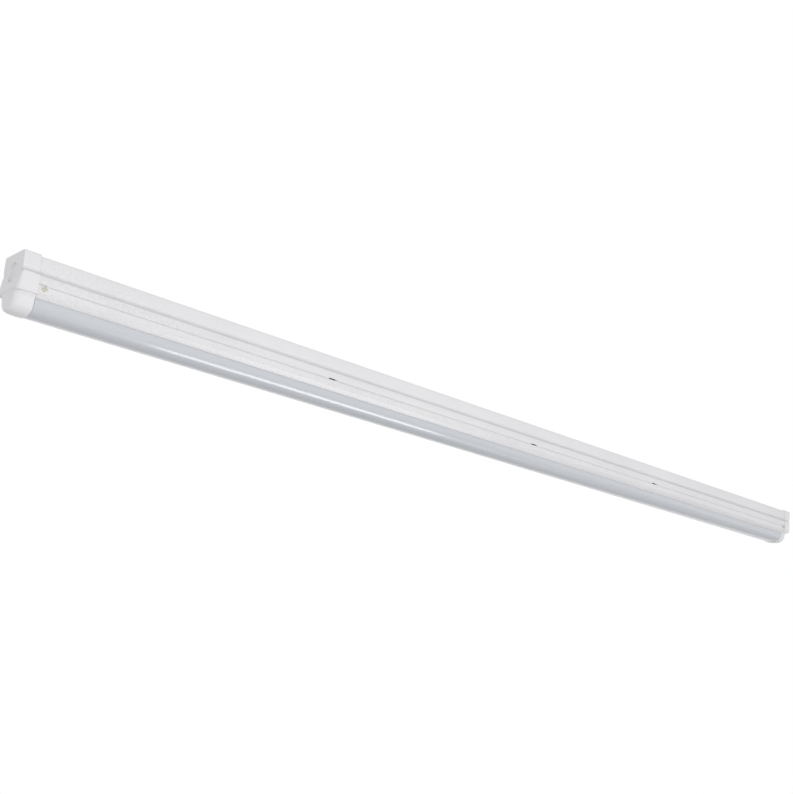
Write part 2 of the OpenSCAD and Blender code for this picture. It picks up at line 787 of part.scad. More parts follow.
module gear_tray() {
    deep = sheet_t + 2 * over;
    color(white) difference() {
        along_x(-tray_end, tray_end) polygon(sheet_outline(both_sides(tray_half()), sheet_t));
        for (p = rivet_points()) post(p[0], p[1], plate_z - over, rivet_r + fit_gap, deep);
        for (x = clip_xs()) for (side = [-1, 1])
            post(x, side * clip_rivet_y, plate_z - over, clip_rivet_r + fit_gap, deep);
        for (p = foot_points()) post(p[0], p[1], plate_z - over, screw_r + fit_gap, deep);
        post(feed_x, feed_y, plate_z - over, feed_hole_r, deep);
        for (side = [-1, 1]) translate([side * fastener_x, 0, fastener_z]) rotate([90, 0, 0])
            cylinder(r = fastener_shank_r + fit_gap, h = skirt_w + 2, center = true);
    }
}

clip_rivet_r = 1.2;
screw_r = 1.5;

module led_board(i) {
    color([0.95, 0.95, 0.93]) difference() {
        block(board_x(i), 0, board_z, [board_len, board_w, board_t]);
        for (p = rivet_points()) post(p[0], p[1], board_z - over, rivet_r + fit_gap, board_t + 2 * over);
    }
}

module led_chips() {
    color([0.98, 0.85, 0.4]) for (i = [0 : board_count - 1]) for (k = [0 : led_count - 1])
        block(board_x(i) + (k - (led_count - 1) / 2) * led_pitch, 0, board_z - led_h, [led_len, led_w, led_h]);
}

module board_links() {
    color([0.97, 0.97, 0.95]) for (i = [0 : board_count - 2])
        block((board_x(i) + board_x(i + 1)) / 2, 0, board_z - link_size[2], link_size);
}

module board_connector() {
    color([0.97, 0.97, 0.95]) block(feed_x, board_w / 2 - 4, board_z - 4, [12, 8, 4]);
}

module board_rivets() {
    color([0.9, 0.9, 0.9]) for (p = rivet_points()) {
        post(p[0], p[1], board_z, rivet_r, floor_z - board_z);
        post(p[0], p[1], board_z - 1, rivet_r * 2, 1);
        post(p[0], p[1], floor_z, rivet_r * 1.6, 1);
    }
}

module driver_case() {
    inside = [driver_len - 2 * driver_t, driver_w - 2 * driver_t, driver_h];
    color([0.8, 0.81, 0.82]) difference() {
        union() {
            difference() {
                block(driver_x, 0, driver_floor_z, [driver_len, driver_w, driver_h]);
                block(driver_x, 0, driver_floor_z + driver_t, inside);
            }
            for (i = [-1, 1]) for (j = [-1, 1])
                block(driver_x + i * (driver_len / 2 - 8), j * (driver_w / 2 - 5),
                    driver_floor_z + driver_t - over, [5, 5, pcb_lift + over]);
            for (i = [-1, 1]) for (j = [-1, 1])
                block(driver_x + i * foot_pitch / 2, j * (driver_w + foot_reach) / 2, floor_z,
                    [10, foot_reach, 3]);
        }
        for (p = foot_points()) post(p[0], p[1], floor_z - over, screw_r + fit_gap, 3 + 2 * over);
    }
}

module driver_lid() {
    color([0.8, 0.81, 0.82]) {
        block(driver_x, 0, driver_top_z, [driver_len, driver_w, driver_t]);
        for (side = [-1, 1])
            block(driver_x, side * (driver_w / 2 - driver_t - 0.2 - driver_t / 2), driver_top_z - 3,
                [driver_len - 20, driver_t, 3]);
    }
}

pcb_t = 1.6;
pcb_z = driver_floor_z + driver_t + pcb_lift;
pcb_top_z = pcb_z + pcb_t;

// Height of the parts on the driver's board, clear of the lid's flanges
tall_part_h = driver_top_z - pcb_top_z - 3.9;
core_size = [22, 12, tall_part_h - 0.5];
coil_size = [14, 20, 6];
can_r = 5;
small_can_r = 4;
film_size = [16, 7, 9];

// Place along the light at a share of the driver's length from its middle
function on_board(share) = driver_x + share * driver_len;

module driver_board() {
    color([0.15, 0.4, 0.22]) block(driver_x, 0, pcb_z,
        [driver_len - 2 * driver_t - 2, driver_w - 2 * driver_t - 1, pcb_t]);
}

module driver_transformer() {
    color([0.75, 0.65, 0.2]) {
        block(on_board(0.07), 0, pcb_top_z, core_size);
        block(on_board(0.07), 0, pcb_top_z + 2, coil_size);
    }
}

module driver_capacitors() {
    color([0.2, 0.22, 0.3]) {
        post(on_board(0.25), 0, pcb_top_z, can_r, tall_part_h);
        for (side = [-1, 1])
            post(on_board(-0.2 + 0.02 * side), side * small_can_r, pcb_top_z, small_can_r, tall_part_h);
        block(on_board(0.35), 0, pcb_top_z, film_size);
    }
}

module driver_input_terminal() {
    color([0.93, 0.93, 0.9])
        block(driver_right_x + driver_terminal_size[0] / 2, 0, floor_z, driver_terminal_size);
}

module driver_output_terminal() {
    color([0.93, 0.93, 0.9])
        block(driver_left_x - driver_terminal_size[0] / 2, 0, floor_z, driver_terminal_size);
}

module driver_screws() {
    color(zinc) for (p = foot_points()) {
        post(p[0], p[1], plate_z - 1.5, screw_r, floor_z + 3 - plate_z + 1.5);
        post(p[0], p[1], floor_z + 3, 2.8, 2);
    }
}

module plug() {
    color([0.9, 0.9, 0.88])
        block(socket_x + socket_len / 2, 0, floor_z, [socket_len, socket_w, plug_top_z - floor_z]);
}

module plug_pins() {
    color(brass) for (i = [0 : 2]) post(pin_x(i), 0, plug_top_z, pin_r, pin_len);
}

// Along the tray's floor from the plug to the driver's input terminal
function mains_route(y) =
    let (z = floor_z + mains_wire_r + 0.1, a = socket_x, b = input_end_x) [
        [a, y, z + 6.4], [a - 4, y, z + 6.4], [a - 12, y, z + 4.4], [a - 20, y, z + 1.4],
        [a - 30, y, z], [b + 28, y, z], [b + 18, y, z + 1.4], [b + 10, y, z + 4],
        [b + 4, y, z + 5.4], [b, y, z + 5.4]
    ];

module mains_wires() {
    color(copper_wire) for (k = [-1 : 1]) wire(mains_route(k * mains_spread), mains_wire_r);
}

// From the driver's output terminal, down through the tray to the left board
function led_route(k) =
    let (a = output_end_x, x = feed_x + 1.5 * k, up = k > 0 ? 0 : 2, z = floor_z) [
        [a, 3 * k, z + 7.7], [a - 4, 3 * k, z + 7.7], [a - 14, 7 + 2 * k, z + 5.7 + up],
        [a - 26, 13 + k, z + 4 + up], [x + 2.5, feed_y - 0.8, z + 3.4 + up], [x, feed_y, z + 1.9 + up],
        [x, feed_y, z - 0.4], [x, feed_y, z - 2.6], [x, feed_y - 0.9, z - 3.9],
        [x, feed_y - 2.4, z - 4.4], [x, board_w / 2, z - 4.4]
    ];

module led_wires() {
    color([0.75, 0.2, 0.15]) for (k = [-1, 1]) wire(led_route(k), led_wire_r);
}

module wire_grommet() {
    color([0.25, 0.25, 0.26]) difference() {
        union() {
            post(feed_x, feed_y, plate_z - 1.2, feed_hole_r + 0.6, 1.2);
            post(feed_x, feed_y, plate_z, feed_hole_r - fit_gap, sheet_t);
            post(feed_x, feed_y, floor_z, feed_hole_r + 0.6, 1.2);
        }
        post(feed_x, feed_y, plate_z - 2, 3, 6);
    }
}

// Saddles that hold the mains wires to the tray's floor
module wire_clips() {
    inner = mains_spread + mains_wire_r + 0.6;
    rise = 2 * mains_wire_r + 0.4;
    color([0.9, 0.9, 0.9]) for (x = [-60, -130]) difference() {
        block(x, 0, floor_z, [6, 2 * inner + 2, rise + 1]);
        block(x, 0, floor_z - over, [8, 2 * inner, rise + over]);
    }
}

module tray_earth_stud() {
    stud(-earth_y, floor_z, 1);
}

module tray_earth_nut() {
    stud_nut(-earth_y, floor_z, 1);
}

module tray_earth_lead() {
    z = floor_z + mains_wire_r + 0.2;
    x = earth_x + tray_tail;
    color([0.35, 0.6, 0.25]) {
        tag(-earth_y, floor_z, 1, tray_tail);
        wire([
            [x, -earth_y, z], [x + 2.5, -earth_y, z], [x + 4.5, -earth_y + 1.2, z + 0.2],
            [x + 6.5, -earth_y + 4.5, z + 1.2], [socket_x - 3.5, -7.6, z + 2.2],
            [socket_x - 2.2, -7.2, z + 2.2], [socket_x, -7.2, z + 2.2]
        ], mains_wire_r);
    }
}

// Spring clips that pinch the diffuser's legs against the recess
module diffuser_clips() {
    blade_y = leg_half - leg_t - gap - clip_t;
    color(zinc) for (x = clip_xs()) for (side = [-1, 1]) difference() {
        union() {
            block(x, side * (blade_y + clip_t + clip_rivet_y - 2.5) / 2, plate_z - clip_t,
                [clip_w, blade_y + clip_t - clip_rivet_y + 2.5, clip_t]);
            block(x, side * (blade_y + clip_t / 2), plate_z - 4, [clip_w, clip_t, 4]);
        }
        post(x, side * clip_rivet_y, plate_z - clip_t - over, clip_rivet_r + fit_gap, clip_t + 2 * over);
    }
}

module clip_rivets() {
    color([0.85, 0.85, 0.85]) for (x = clip_xs()) for (side = [-1, 1]) {
        post(x, side * clip_rivet_y, plate_z - clip_t, clip_rivet_r, sheet_t + clip_t);
        post(x, side * clip_rivet_y, plate_z - clip_t - 0.8, clip_rivet_r * 1.9, 0.8);
        post(x, side * clip_rivet_y, floor_z, clip_rivet_r * 1.6, 0.8);
    }
}

module diffuser() {
    inner_leg = leg_half - leg_t;
    outside = concat(
        [[leg_half, plate_z - gap], [leg_half, diffuser_top_z], [diffuser_half, diffuser_top_z]],
        diffuser_curve(0)
    );
    inside = concat(
        [[inner_leg, plate_z - gap], [inner_leg, diffuser_top_z - diffuser_t]],
        [[diffuser_half - diffuser_t, diffuser_top_z - diffuser_t]],
        diffuser_curve(diffuser_t)
    );
    hollow = both_sides_closed(inside);
    color(opal) along_x(-tray_end, tray_end) difference() {
        polygon(both_sides_closed(outside));
        polygon(concat([[inner_leg, plate_z]], hollow, [[-inner_leg, plate_z]]));
    }
}

spine();
hanger(-1);  // hanger_left
hanger(1);  // hanger_right
end_cap(-1);  // end_cap_left
end_cap(1);  // end_cap_right
terminal_block();
terminal_clamps();
button(0);  // button_live
button(1);  // button_earth
button(2);  // button_neutral
socket();
socket_contacts();
socket_wires();
earth_stud();
earth_nut();
earth_lead();
entry_grommet();
entry_blank();
gear_tray();
led_board(0);  // led_board_left
led_board(1);  // led_board_middle
led_board(2);  // led_board_right
led_chips();
board_links();
board_connector();
board_rivets();
driver_case();
driver_lid();
driver_board();
driver_transformer();
driver_capacitors();
driver_input_terminal();
driver_output_terminal();
driver_screws();
plug();
plug_pins();
mains_wires();
led_wires();
wire_grommet();
wire_clips();
tray_earth_stud();
tray_earth_nut();
tray_earth_lead();
diffuser_clips();
clip_rivets();
diffuser();
turn_fastener(-1, -1);  // fastener_left_front
turn_fastener(-1, 1);  // fastener_left_back
turn_fastener(1, -1);  // fastener_right_front
turn_fastener(1, 1);  // fastener_right_back
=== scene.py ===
# %% [markdown]
# # A batten light, dressed in Blender
#
# The light is a long white channel that fixes under a ceiling. A tray with the LED boards and
# the driver hangs below it, and an opal diffuser closes the tray. A moulded cap closes each end.
# This file takes the CAD model as its frame, remakes what shows with smooth folds and moulded
# edges, gives each finish a material, and lights the whole in a plain studio.

import json
import math

import bpy
from mathutils import Matrix, Vector


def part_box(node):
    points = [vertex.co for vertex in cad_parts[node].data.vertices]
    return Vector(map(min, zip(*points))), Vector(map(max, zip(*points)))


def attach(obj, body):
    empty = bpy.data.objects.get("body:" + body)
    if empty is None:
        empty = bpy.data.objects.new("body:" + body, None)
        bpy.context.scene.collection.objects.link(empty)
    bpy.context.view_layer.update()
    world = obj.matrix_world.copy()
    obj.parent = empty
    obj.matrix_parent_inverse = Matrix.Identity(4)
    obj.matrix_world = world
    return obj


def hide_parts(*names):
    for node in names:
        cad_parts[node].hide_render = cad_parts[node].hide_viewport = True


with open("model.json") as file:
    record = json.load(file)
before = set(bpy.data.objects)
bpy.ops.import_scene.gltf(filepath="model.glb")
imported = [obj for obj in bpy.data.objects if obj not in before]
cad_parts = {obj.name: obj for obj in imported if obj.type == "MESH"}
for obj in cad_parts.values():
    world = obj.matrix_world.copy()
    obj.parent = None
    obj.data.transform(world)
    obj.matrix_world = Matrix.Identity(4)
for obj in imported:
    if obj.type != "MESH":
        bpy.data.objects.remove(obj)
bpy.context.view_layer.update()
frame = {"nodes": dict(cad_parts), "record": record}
nodes = frame["nodes"]

# %% [markdown]
# ## The camera
#
# The photograph was taken from below and in front of the near end, with the camera nearly
# level, so its picture was shifted upwards to take the light in. The same lens and shift are
# set here. A tilted camera would make the upright lines lean, and the photograph's don't.

# %% Place the camera
photo_size = 794
focal_px = 1087.494
shift_px = 200.0
camera_at = Vector((-1.3760350, -1.2907689, -0.4407856))
camera_right = Vector((0.7404057, -0.6635792, 0.1070610))
camera_up = Vector((-0.1209044, 0.0252012, 0.9923442))
camera_ahead = Vector((0.6611971, 0.7476814, 0.0615706))

camera_data = bpy.data.cameras.new("camera")
camera_data.sensor_width = 36.0
camera_data.lens = focal_px * camera_data.sensor_width / photo_size
camera_data.shift_y = shift_px / photo_size
camera_data.clip_start = 0.01
camera = bpy.data.objects.new("camera", camera_data)
bpy.context.scene.collection.objects.link(camera)
columns = Matrix((camera_right, camera_up, -camera_ahead)).transposed()
camera.matrix_world = Matrix.Translation(camera_at) @ columns.to_4x4()
bpy.context.scene.camera = camera
print("lens", round(camera_data.lens, 3), "mm, shift", round(camera_data.shift_y, 4))

# %% [markdown]
# ## The studio
#
# The background is pure white, but a white world that also lights the piece would wash it out.
# So the world shows white to the camera and to reflections, and lights the piece with less.
# The floor lies well below, under the picture's edge, and gives soft light from underneath.

# %% Set the world and the floor
scene = bpy.context.scene
scene.view_settings.view_transform = "Standard"

world = bpy.data.worlds.new("studio")
scene.world = world
world.use_nodes = True
tree = world.node_tree
tree.nodes.clear()
path_node = tree.nodes.new("ShaderNodeLightPath")
seen = tree.nodes.new("ShaderNodeMath")
seen.operation = "MAXIMUM"
seen_all = tree.nodes.new("ShaderNodeMath")
seen_all.operation = "MAXIMUM"
shown_white = tree.nodes.new("ShaderNodeBackground")
shown_white.inputs["Color"].default_value = (1.0, 1.0, 1.0, 1.0)
shown_white.inputs["Strength"].default_value = 1.0
room_light = tree.nodes.new("ShaderNodeBackground")
room_light.inputs["Color"].default_value = (0.99, 0.985, 1.0, 1.0)
room_light.inputs["Strength"].default_value = 0.62
both = tree.nodes.new("ShaderNodeMixShader")
output = tree.nodes.new("ShaderNodeOutputWorld")
tree.links.new(path_node.outputs["Is Camera Ray"], seen.inputs[0])
tree.links.new(path_node.outputs["Is Transmission Ray"], seen.inputs[1])
tree.links.new(seen.outputs[0], seen_all.inputs[0])
tree.links.new(path_node.outputs["Is Glossy Ray"], seen_all.inputs[1])
tree.links.new(seen_all.outputs[0], both.inputs["Fac"])
tree.links.new(room_light.outputs[0], both.inputs[1])
tree.links.new(shown_white.outputs[0], both.inputs[2])
tree.links.new(both.outputs[0], output.inputs["Surface"])

bpy.ops.object.select_all(action="DESELECT")
bpy.ops.mesh.primitive_plane_add(size=7.0, location=(0.0, 0.0, -1.25))
floor = bpy.context.object
floor.name = "floor"
floor_mat = bpy.data.materials.new("pale_floor")
floor_mat.use_nodes = True
floor_shader = floor_mat.node_tree.nodes["Principled BSDF"]
floor_shader.inputs["Roughness"].default_value = 0.9
floor_noise = floor_mat.node_tree.nodes.new("ShaderNodeTexNoise")
floor_noise.inputs["Scale"].default_value = 3.0
floor_mix = floor_mat.node_tree.nodes.new("ShaderNodeMix")
floor_mix.data_type = "RGBA"
floor_mix.inputs["A"].default_value = (0.76, 0.76, 0.76, 1.0)
floor_mix.inputs["B"].default_value = (0.8, 0.8, 0.8, 1.0)
floor_mat.node_tree.links.new(floor_noise.outputs[0], floor_mix.inputs["Factor"])
floor_mat.node_tree.links.new(floor_mix.outputs["Result"], floor_shader.inputs["Base Color"])
floor.data.materials.append(floor_mat)

# %% [markdown]
# ## The lamps
#
# A large soft lamp in front and below lights the long side, and a small one lights the near end
# face. A third hangs low in front of the right half, and the glossy diffuser mirrors it as the
# thin bright line of the photograph. Each lamp does one job, so the first two are kept out of
# reflections, and the third adds nothing to matt surfaces.

# %% Place the soft lamps


def soft_lamp(name, at, aim, wide, high, power):
    """A rectangular lamp that faces a point."""
    data = bpy.data.lights.new(name, "AREA")
    data.shape = "RECTANGLE"
    data.size = wide
    data.size_y = high
    data.energy = power
    lamp = bpy.data.objects.new(name, data)
    bpy.context.scene.collection.objects.link(lamp)
    lamp.location = at
    lamp.rotation_euler = (Vector(aim) - Vector(at)).to_track_quat("-Z", "X").to_euler()
    return lamp


front_lamp = soft_lamp("front_lamp", (-0.3, -2.5, -0.9), (-0.3, 0.0, -0.04), 1.2, 3.2, 33.0)
corner_lamp = soft_lamp("corner_lamp", (-2.5, -1.5, -0.5), (-0.9, 0.0, -0.04), 1.0, 1.0, 6.0)
stripe_lamp = soft_lamp("stripe_lamp", (0.33, -0.42, -1.12), (0.33, 0.0, -0.06), 0.5, 0.95, 8.5)
front_lamp.visible_glossy = False
corner_lamp.visible_glossy = False
stripe_lamp.visible_diffuse = False

# %% [markdown]
# ## Tools for folded sheet
#
# The channel and the tray are strips of steel, folded along their whole length. A fold is
# traced corner by corner as a chain, the chain is extruded along the light, its folds are
# bevelled to the bend's radius, and only then does the sheet get its thickness. A box with
# cuts would need every inner face moved by hand.

# %% Trace a section and stretch it
MM = 0.001


def deselect():
    """Object mode with nothing selected."""
    if bpy.context.mode != "OBJECT":
        bpy.ops.object.mode_set(mode="OBJECT")
    bpy.ops.object.select_all(action="DESELECT")


def make_active(piece):
    """Selects the piece alone and makes it the active one."""
    deselect()
    piece.select_set(True)
    bpy.context.view_layer.objects.active = piece


def settle(piece):
    """The piece's place goes into its mesh, and its object to the origin."""
    make_active(piece)
    bpy.ops.object.transform_apply(location=True, rotation=True, scale=True)


def trace(name, start, steps, closed=False):
    """A chain of corners drawn by extruding one corner by each step in turn, all in metres."""
    deselect()
    bpy.ops.mesh.primitive_plane_add(size=0.001, location=start)
    piece = bpy.context.object
    piece.name = name
    bpy.ops.object.mode_set(mode="EDIT")
    bpy.context.tool_settings.mesh_select_mode = (True, False, False)
    bpy.ops.mesh.merge(type="CENTER")
    for step in steps:
        bpy.ops.mesh.extrude_region_move(TRANSFORM_OT_translate={"value": step})
    if closed:
        bpy.ops.mesh.select_all(action="SELECT")
        bpy.ops.mesh.edge_face_add()
    bpy.ops.object.mode_set(mode="OBJECT")
    settle(piece)
    return piece


def trace_section(name, x, path, closed=False):
    """A section in Y and Z, in millimetres, drawn at X = x."""
    steps = [(0.0, (b[0] - a[0]) * MM, (b[1] - a[1]) * MM) for a, b in zip(path, path[1:])]
    return trace(name, (x * MM, path[0][0] * MM, path[0][1] * MM), steps, closed)


def trace_plan(name, z, path):
    """A closed plan in X and Y, in millimetres, drawn at a height."""
    steps = [((b[0] - a[0]) * MM, (b[1] - a[1]) * MM, 0.0) for a, b in zip(path, path[1:])]
    return trace(name, (path[0][0] * MM, path[0][1] * MM, z * MM), steps, closed=True)


def stretch(piece, move):
    """Extrudes the whole piece by a move in millimetres."""
    make_active(piece)
    bpy.ops.object.mode_set(mode="EDIT")
    bpy.ops.mesh.select_all(action="SELECT")
    bpy.ops.mesh.extrude_region_move(TRANSFORM_OT_translate={"value": [v * MM for v in move]})
    bpy.ops.mesh.select_all(action="SELECT")
    bpy.ops.mesh.normals_make_consistent(inside=False)
    bpy.ops.object.mode_set(mode="OBJECT")


def face_outwards(piece, way):
    """Turns an open sheet's faces over if the one furthest along a way looks back."""
    way = Vector(way)
    far = max(piece.data.polygons, key=lambda f: f.center.dot(way))
    if far.normal.dot(way) < 0:
        make_active(piece)
        bpy.ops.object.mode_set(mode="EDIT")
        bpy.ops.mesh.select_all(action="SELECT")
        bpy.ops.mesh.flip_normals()
        bpy.ops.object.mode_set(mode="OBJECT")


# %% Modifiers, each applied at once


def apply_modifier(piece, kind, **settings):
    """Adds one modifier and applies it at once."""
    make_active(piece)
    modifier = piece.modifiers.new("step", kind)
    for name, value in settings.items():
        setattr(modifier, name, value)
    bpy.ops.object.modifier_apply(modifier=modifier.name)
    return piece


def round_folds(piece, radius, segments=3, angle=25.0):
    """Bevels every edge that turns by more than an angle."""
    return apply_modifier(
        piece, "BEVEL", width=radius * MM, segments=segments, limit_method="ANGLE",
        angle_limit=math.radians(angle), use_clamp_overlap=True,
    )


def thicken(piece, t):
    """Gives a sheet its thickness on its inner side."""
    return apply_modifier(
        piece, "SOLIDIFY", thickness=t * MM, offset=-1.0, use_even_offset=True, use_rim=True
    )


def combine(piece, other, operation):
    """Cuts another solid out of the piece, or joins it on, and removes the other.

    The manifold solver is used: the exact one can turn a folded sheet inside out.
    """
    apply_modifier(piece, "BOOLEAN", object=other, operation=operation, solver="MANIFOLD")
    bpy.data.objects.remove(other)
    return piece


def smooth(piece, angle=32.0):
    """Shades smooth every edge that turns by less than an angle."""
    make_active(piece)
    bpy.ops.object.shade_smooth_by_angle(angle=math.radians(angle))
    return piece


def box_solid(name, low, high):
    """A box between two corners, in millimetres."""
    deselect()
    middle = [(a + b) / 2 * MM for a, b in zip(low, high)]
    size = [(b - a) * MM for a, b in zip(low, high)]
    bpy.ops.mesh.primitive_cube_add(size=1.0, location=middle, scale=size)
    piece = bpy.context.object
    piece.name = name
    settle(piece)
    return piece


def round_solid(name, at, radius, depth, turn=(0.0, 0.0, 0.0), sides=64):
    """A cylinder round a middle point, in millimetres."""
    deselect()
    bpy.ops.mesh.primitive_cylinder_add(
        vertices=sides, radius=radius * MM, depth=depth * MM,
        location=[v * MM for v in at], rotation=turn,
    )
    piece = bpy.context.object
    piece.name = name
    settle(piece)
    return piece


def arc(cy, cz, ry, rz, start, end, parts):
    """Points of an ellipse's arc, in millimetres."""
    turns = [math.radians(start + (end - start) * i / parts) for i in range(parts + 1)]
    return [(cy + ry * math.cos(a), cz + rz * math.sin(a)) for a in turns]


def across(half):
    """A half section and its mirror image, as one chain from -Y to +Y."""
    return [(-y, z) for y, z in reversed(half)] + list(half)


SIDEWAYS = (0.0, math.radians(90.0), 0.0)
CROSSWAYS = (math.radians(90.0), 0.0, 0.0)

# %% [markdown]
# ## The spine
#
# The spine is one strip of white sheet. Its upper wall bulges out a little and turns under into
# a groove, and a skirt stands out below that. The groove is the thin dark line in the
# photograph, so the turn above it is drawn with many small steps to catch the light softly.
# Raised pads round the fixing slots are extruded from the top face before the sheet gets its
# thickness, as a press would form them.

# %% Fold the spine
half_length = 879.7
sheet_t = 0.8
top_z, bulge_z, skirt_low_z = -2.0, -18.0, -37.2
spine_half = (
    arc(26.4, top_z - 1.6, 1.6, 1.6, 90, 12, 6)
    + [(28.45, -7.0), (28.7, -10.0), (28.92, -13.2)]
    + arc(27.0, bulge_z, 2.0, 3.6, 0, -90, 10)
    + [(27.0, -25.0), (30.8, -26.0), (30.8, skirt_low_z)]
)
spine = trace_section("spine_sheet", -half_length, across(spine_half))
stretch(spine, (2 * half_length, 0.0, 0.0))
face_outwards(spine, (0.0, 0.0, 1.0))
print("spine strip:", len(spine.data.polygons), "faces")

# %% Raise the pads and thicken the sheet
slot_x, slot_reach, slot_r, slot_low, slot_deep = 600.0, 3.5, 2.5, -4.0, 8.0
pad_half_x, pad_half_y, pad_h = 18.0, 10.0, 2.0


def bisect(piece, at, normal):
    """Cuts new edges into the piece along a plane, in millimetres."""
    make_active(piece)
    bpy.ops.object.mode_set(mode="EDIT")
    bpy.ops.mesh.select_all(action="SELECT")
    bpy.ops.mesh.bisect(plane_co=[v * MM for v in at], plane_no=normal)
    bpy.ops.object.mode_set(mode="OBJECT")


for side in (-1, 1):
    for reach in (-pad_half_x, pad_half_x):
        bisect(spine, (side * slot_x + reach, 0.0, 0.0), (1.0, 0.0, 0.0))
for reach in (-pad_half_y, pad_half_y):
    bisect(spine, (0.0, reach, 0.0), (0.0, 1.0, 0.0))


def select_faces(piece, test):
    """Selects the faces whose middle passes a test, in edit mode."""
    make_active(piece)
    for face in piece.data.polygons:
        face.select = bool(test(face.center / MM, face.normal))
    for edge in piece.data.edges:
        edge.select = False
    for vertex in piece.data.vertices:
        vertex.select = False
    count = sum(face.select for face in piece.data.polygons)
    bpy.context.tool_settings.mesh_select_mode = (False, False, True)
    bpy.ops.object.mode_set(mode="EDIT")
    return count


def on_pad(c, n):
    """Whether a face lies on top of one of the two pads."""
    return n.z > 0.99 and abs(abs(c.x) - slot_x) < pad_half_x and abs(c.y) < pad_half_y


print("pad faces:", select_faces(spine, on_pad))
bpy.ops.mesh.extrude_region_move(TRANSFORM_OT_translate={"value": (0.0, 0.0, pad_h * MM)})
bpy.ops.object.mode_set(mode="OBJECT")
round_folds(spine, 0.45)
thicken(spine, sheet_t)

# %% Cut the slots, the entries and the notches
for x in (-slot_x, slot_x):
    left_end = arc(x - slot_reach, 0.0, slot_r, slot_r, 270, 90, 16)
    right_end = arc(x + slot_reach, 0.0, slot_r, slot_r, 90, -90, 16)
    slot = trace_plan("slot", slot_low, left_end + right_end)
    stretch(slot, (0.0, 0.0, slot_deep))
    combine(spine, slot, "DIFFERENCE")
entry_r, entries = 10.0, (-110.0, 640.0)
for x in entries:
    combine(spine, round_solid("entry", (x, 0, top_z), entry_r, slot_deep), "DIFFERENCE")
seam_notches = [(-431.0, 8.0), (18.0, 8.0), (376.0, 8.0)]
end_notches = [(-876.5, 6.5), (876.5, 6.5)]
clear_y, notch_high = 40, 1.5
for x, reach in seam_notches + end_notches:
    low = (x - reach, -clear_y, skirt_low_z - 1)
    high = (x + reach, clear_y, skirt_low_z + notch_high)
    combine(spine, box_solid("notch", low, high), "DIFFERENCE")
smooth(spine)
print("spine:", len(spine.data.polygons), "faces, size", [round(v, 4) for v in spine.dimensions])

# %% [markdown]
# ## The gear tray
#
# The tray is folded the same way. Its upright side shows between the seam and the diffuser, and
# a tongue steps in at the top so that the tray slides up inside the spine's skirt. A short slot
# through the tongue behind each of the three middle notches lets them show dark, as they do in
# the photograph.

# %% Fold the tray
tray_rim = (24.8, -52.4)
tray_half = [
    (22.9, -48.7), (22.9, -52.4), tray_rim, (30.8, -46.4),
    (30.8, -37.6), (29.5, -37.0), (29.5, -32.8),
]
tray = trace_section("tray_sheet", -half_length, across(tray_half))
stretch(tray, (2 * half_length, 0.0, 0.0))
face_outwards(tray, (0.0, 1.0, 0.0))
round_folds(tray, 0.5)
thicken(tray, sheet_t)
feed = [(a + b) / 2 / MM for a, b in zip(*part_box("wire_grommet"))]
feed_r, pry_low, pry_high, pry_in = 3.7, -37.3, -35.4, 2
combine(tray, round_solid("feed", feed, feed_r, 8, sides=40), "DIFFERENCE")
for x, reach in seam_notches:
    low = (x - reach + pry_in, -clear_y, pry_low)
    high = (x + reach - pry_in, clear_y, pry_high)
    combine(tray, box_solid("pry_slot", low, high), "DIFFERENCE")
fastener_x, fastener_z, shank_hole_r = 872.5, -41.1, 2.05
for x in (-fastener_x, fastener_x):
    at = (x, 0, fastener_z)
    shank_hole = round_solid("shank_hole", at, shank_hole_r, 2 * clear_y, CROSSWAYS, 32)
    combine(tray, shank_hole, "DIFFERENCE")
smooth(tray)
print("tray:", len(tray.data.polygons), "faces")

# %% [markdown]
# ## The diffuser
#
# The diffuser is an extruded opal trough. Its section is fuller than a half circle, so it
# follows a superellipse, whose exponent sets how square the shoulders are. Two legs above the
# rim slip into the tray's recess. Many narrow facets keep the highlight along it clean.

# %% Extrude the diffuser
diffuser_half, diffuser_top, diffuser_side = 23.8, -52.46, -54.7
diffuser_deep, diffuser_t, fullness = 17.3, 1.5, 2.4
diffuser_low = diffuser_side - diffuser_deep
bend_parts = 28
trough = []
for i in range(bend_parts):
    a = math.radians(90 * i / bend_parts)
    y = diffuser_half * math.cos(a) ** (2 / fullness)
    z = diffuser_side - diffuser_deep * math.sin(a) ** (2 / fullness)
    trough.append((y, z))
trough.append((0.0, diffuser_low))
rim = [(22.6, -49.0), (22.6, diffuser_top), (diffuser_half, diffuser_top)]
outline = rim + trough
outline = outline + [(-y, z) for y, z in reversed(outline[:-1])]
diffuser = trace_section("diffuser_trough", -half_length, outline)
stretch(diffuser, (2 * half_length, 0.0, 0.0))
face_outwards(diffuser, (0.0, 0.0, -1.0))
round_folds(diffuser, 0.12, 2, 40.0)
thicken(diffuser, diffuser_t)
smooth(diffuser, 40.0)
size = [round(v, 4) for v in diffuser.dimensions]
print("diffuser:", len(diffuser.data.polygons), "faces, size", size)

# %% [markdown]
# ## The end caps
#
# Each cap is one hollow moulding with three forms: a head that follows the spine's section, a
# skirt that swells down to a lip, and a lower part that narrows and rounds off towards the end
# face. Each form is drawn on its own and they are joined into one solid. A smaller set of the
# same forms is cut out of it, less a boss that keeps solid behind the round knock-out. The
# result is remeshed and relaxed, which rounds all its edges at once as a mould does.

# %% Draw a cap's three forms
cap_len, cap_t, cap_proud = 26.0, 2.0, 0.8
lip_out, lip_step, lip_z, nose_top, lip_r = 4.9, 1.6, -46.5, -49.1, 7.0
skirt_half, skirt_top = 30.8, -26.0
nose_low, nose_wall_y, nose_turn, nose_parts = -72.8, 28.1, 9.0, 8
end_wide, end_low = 36.0, -69.6
overrun = 0.1


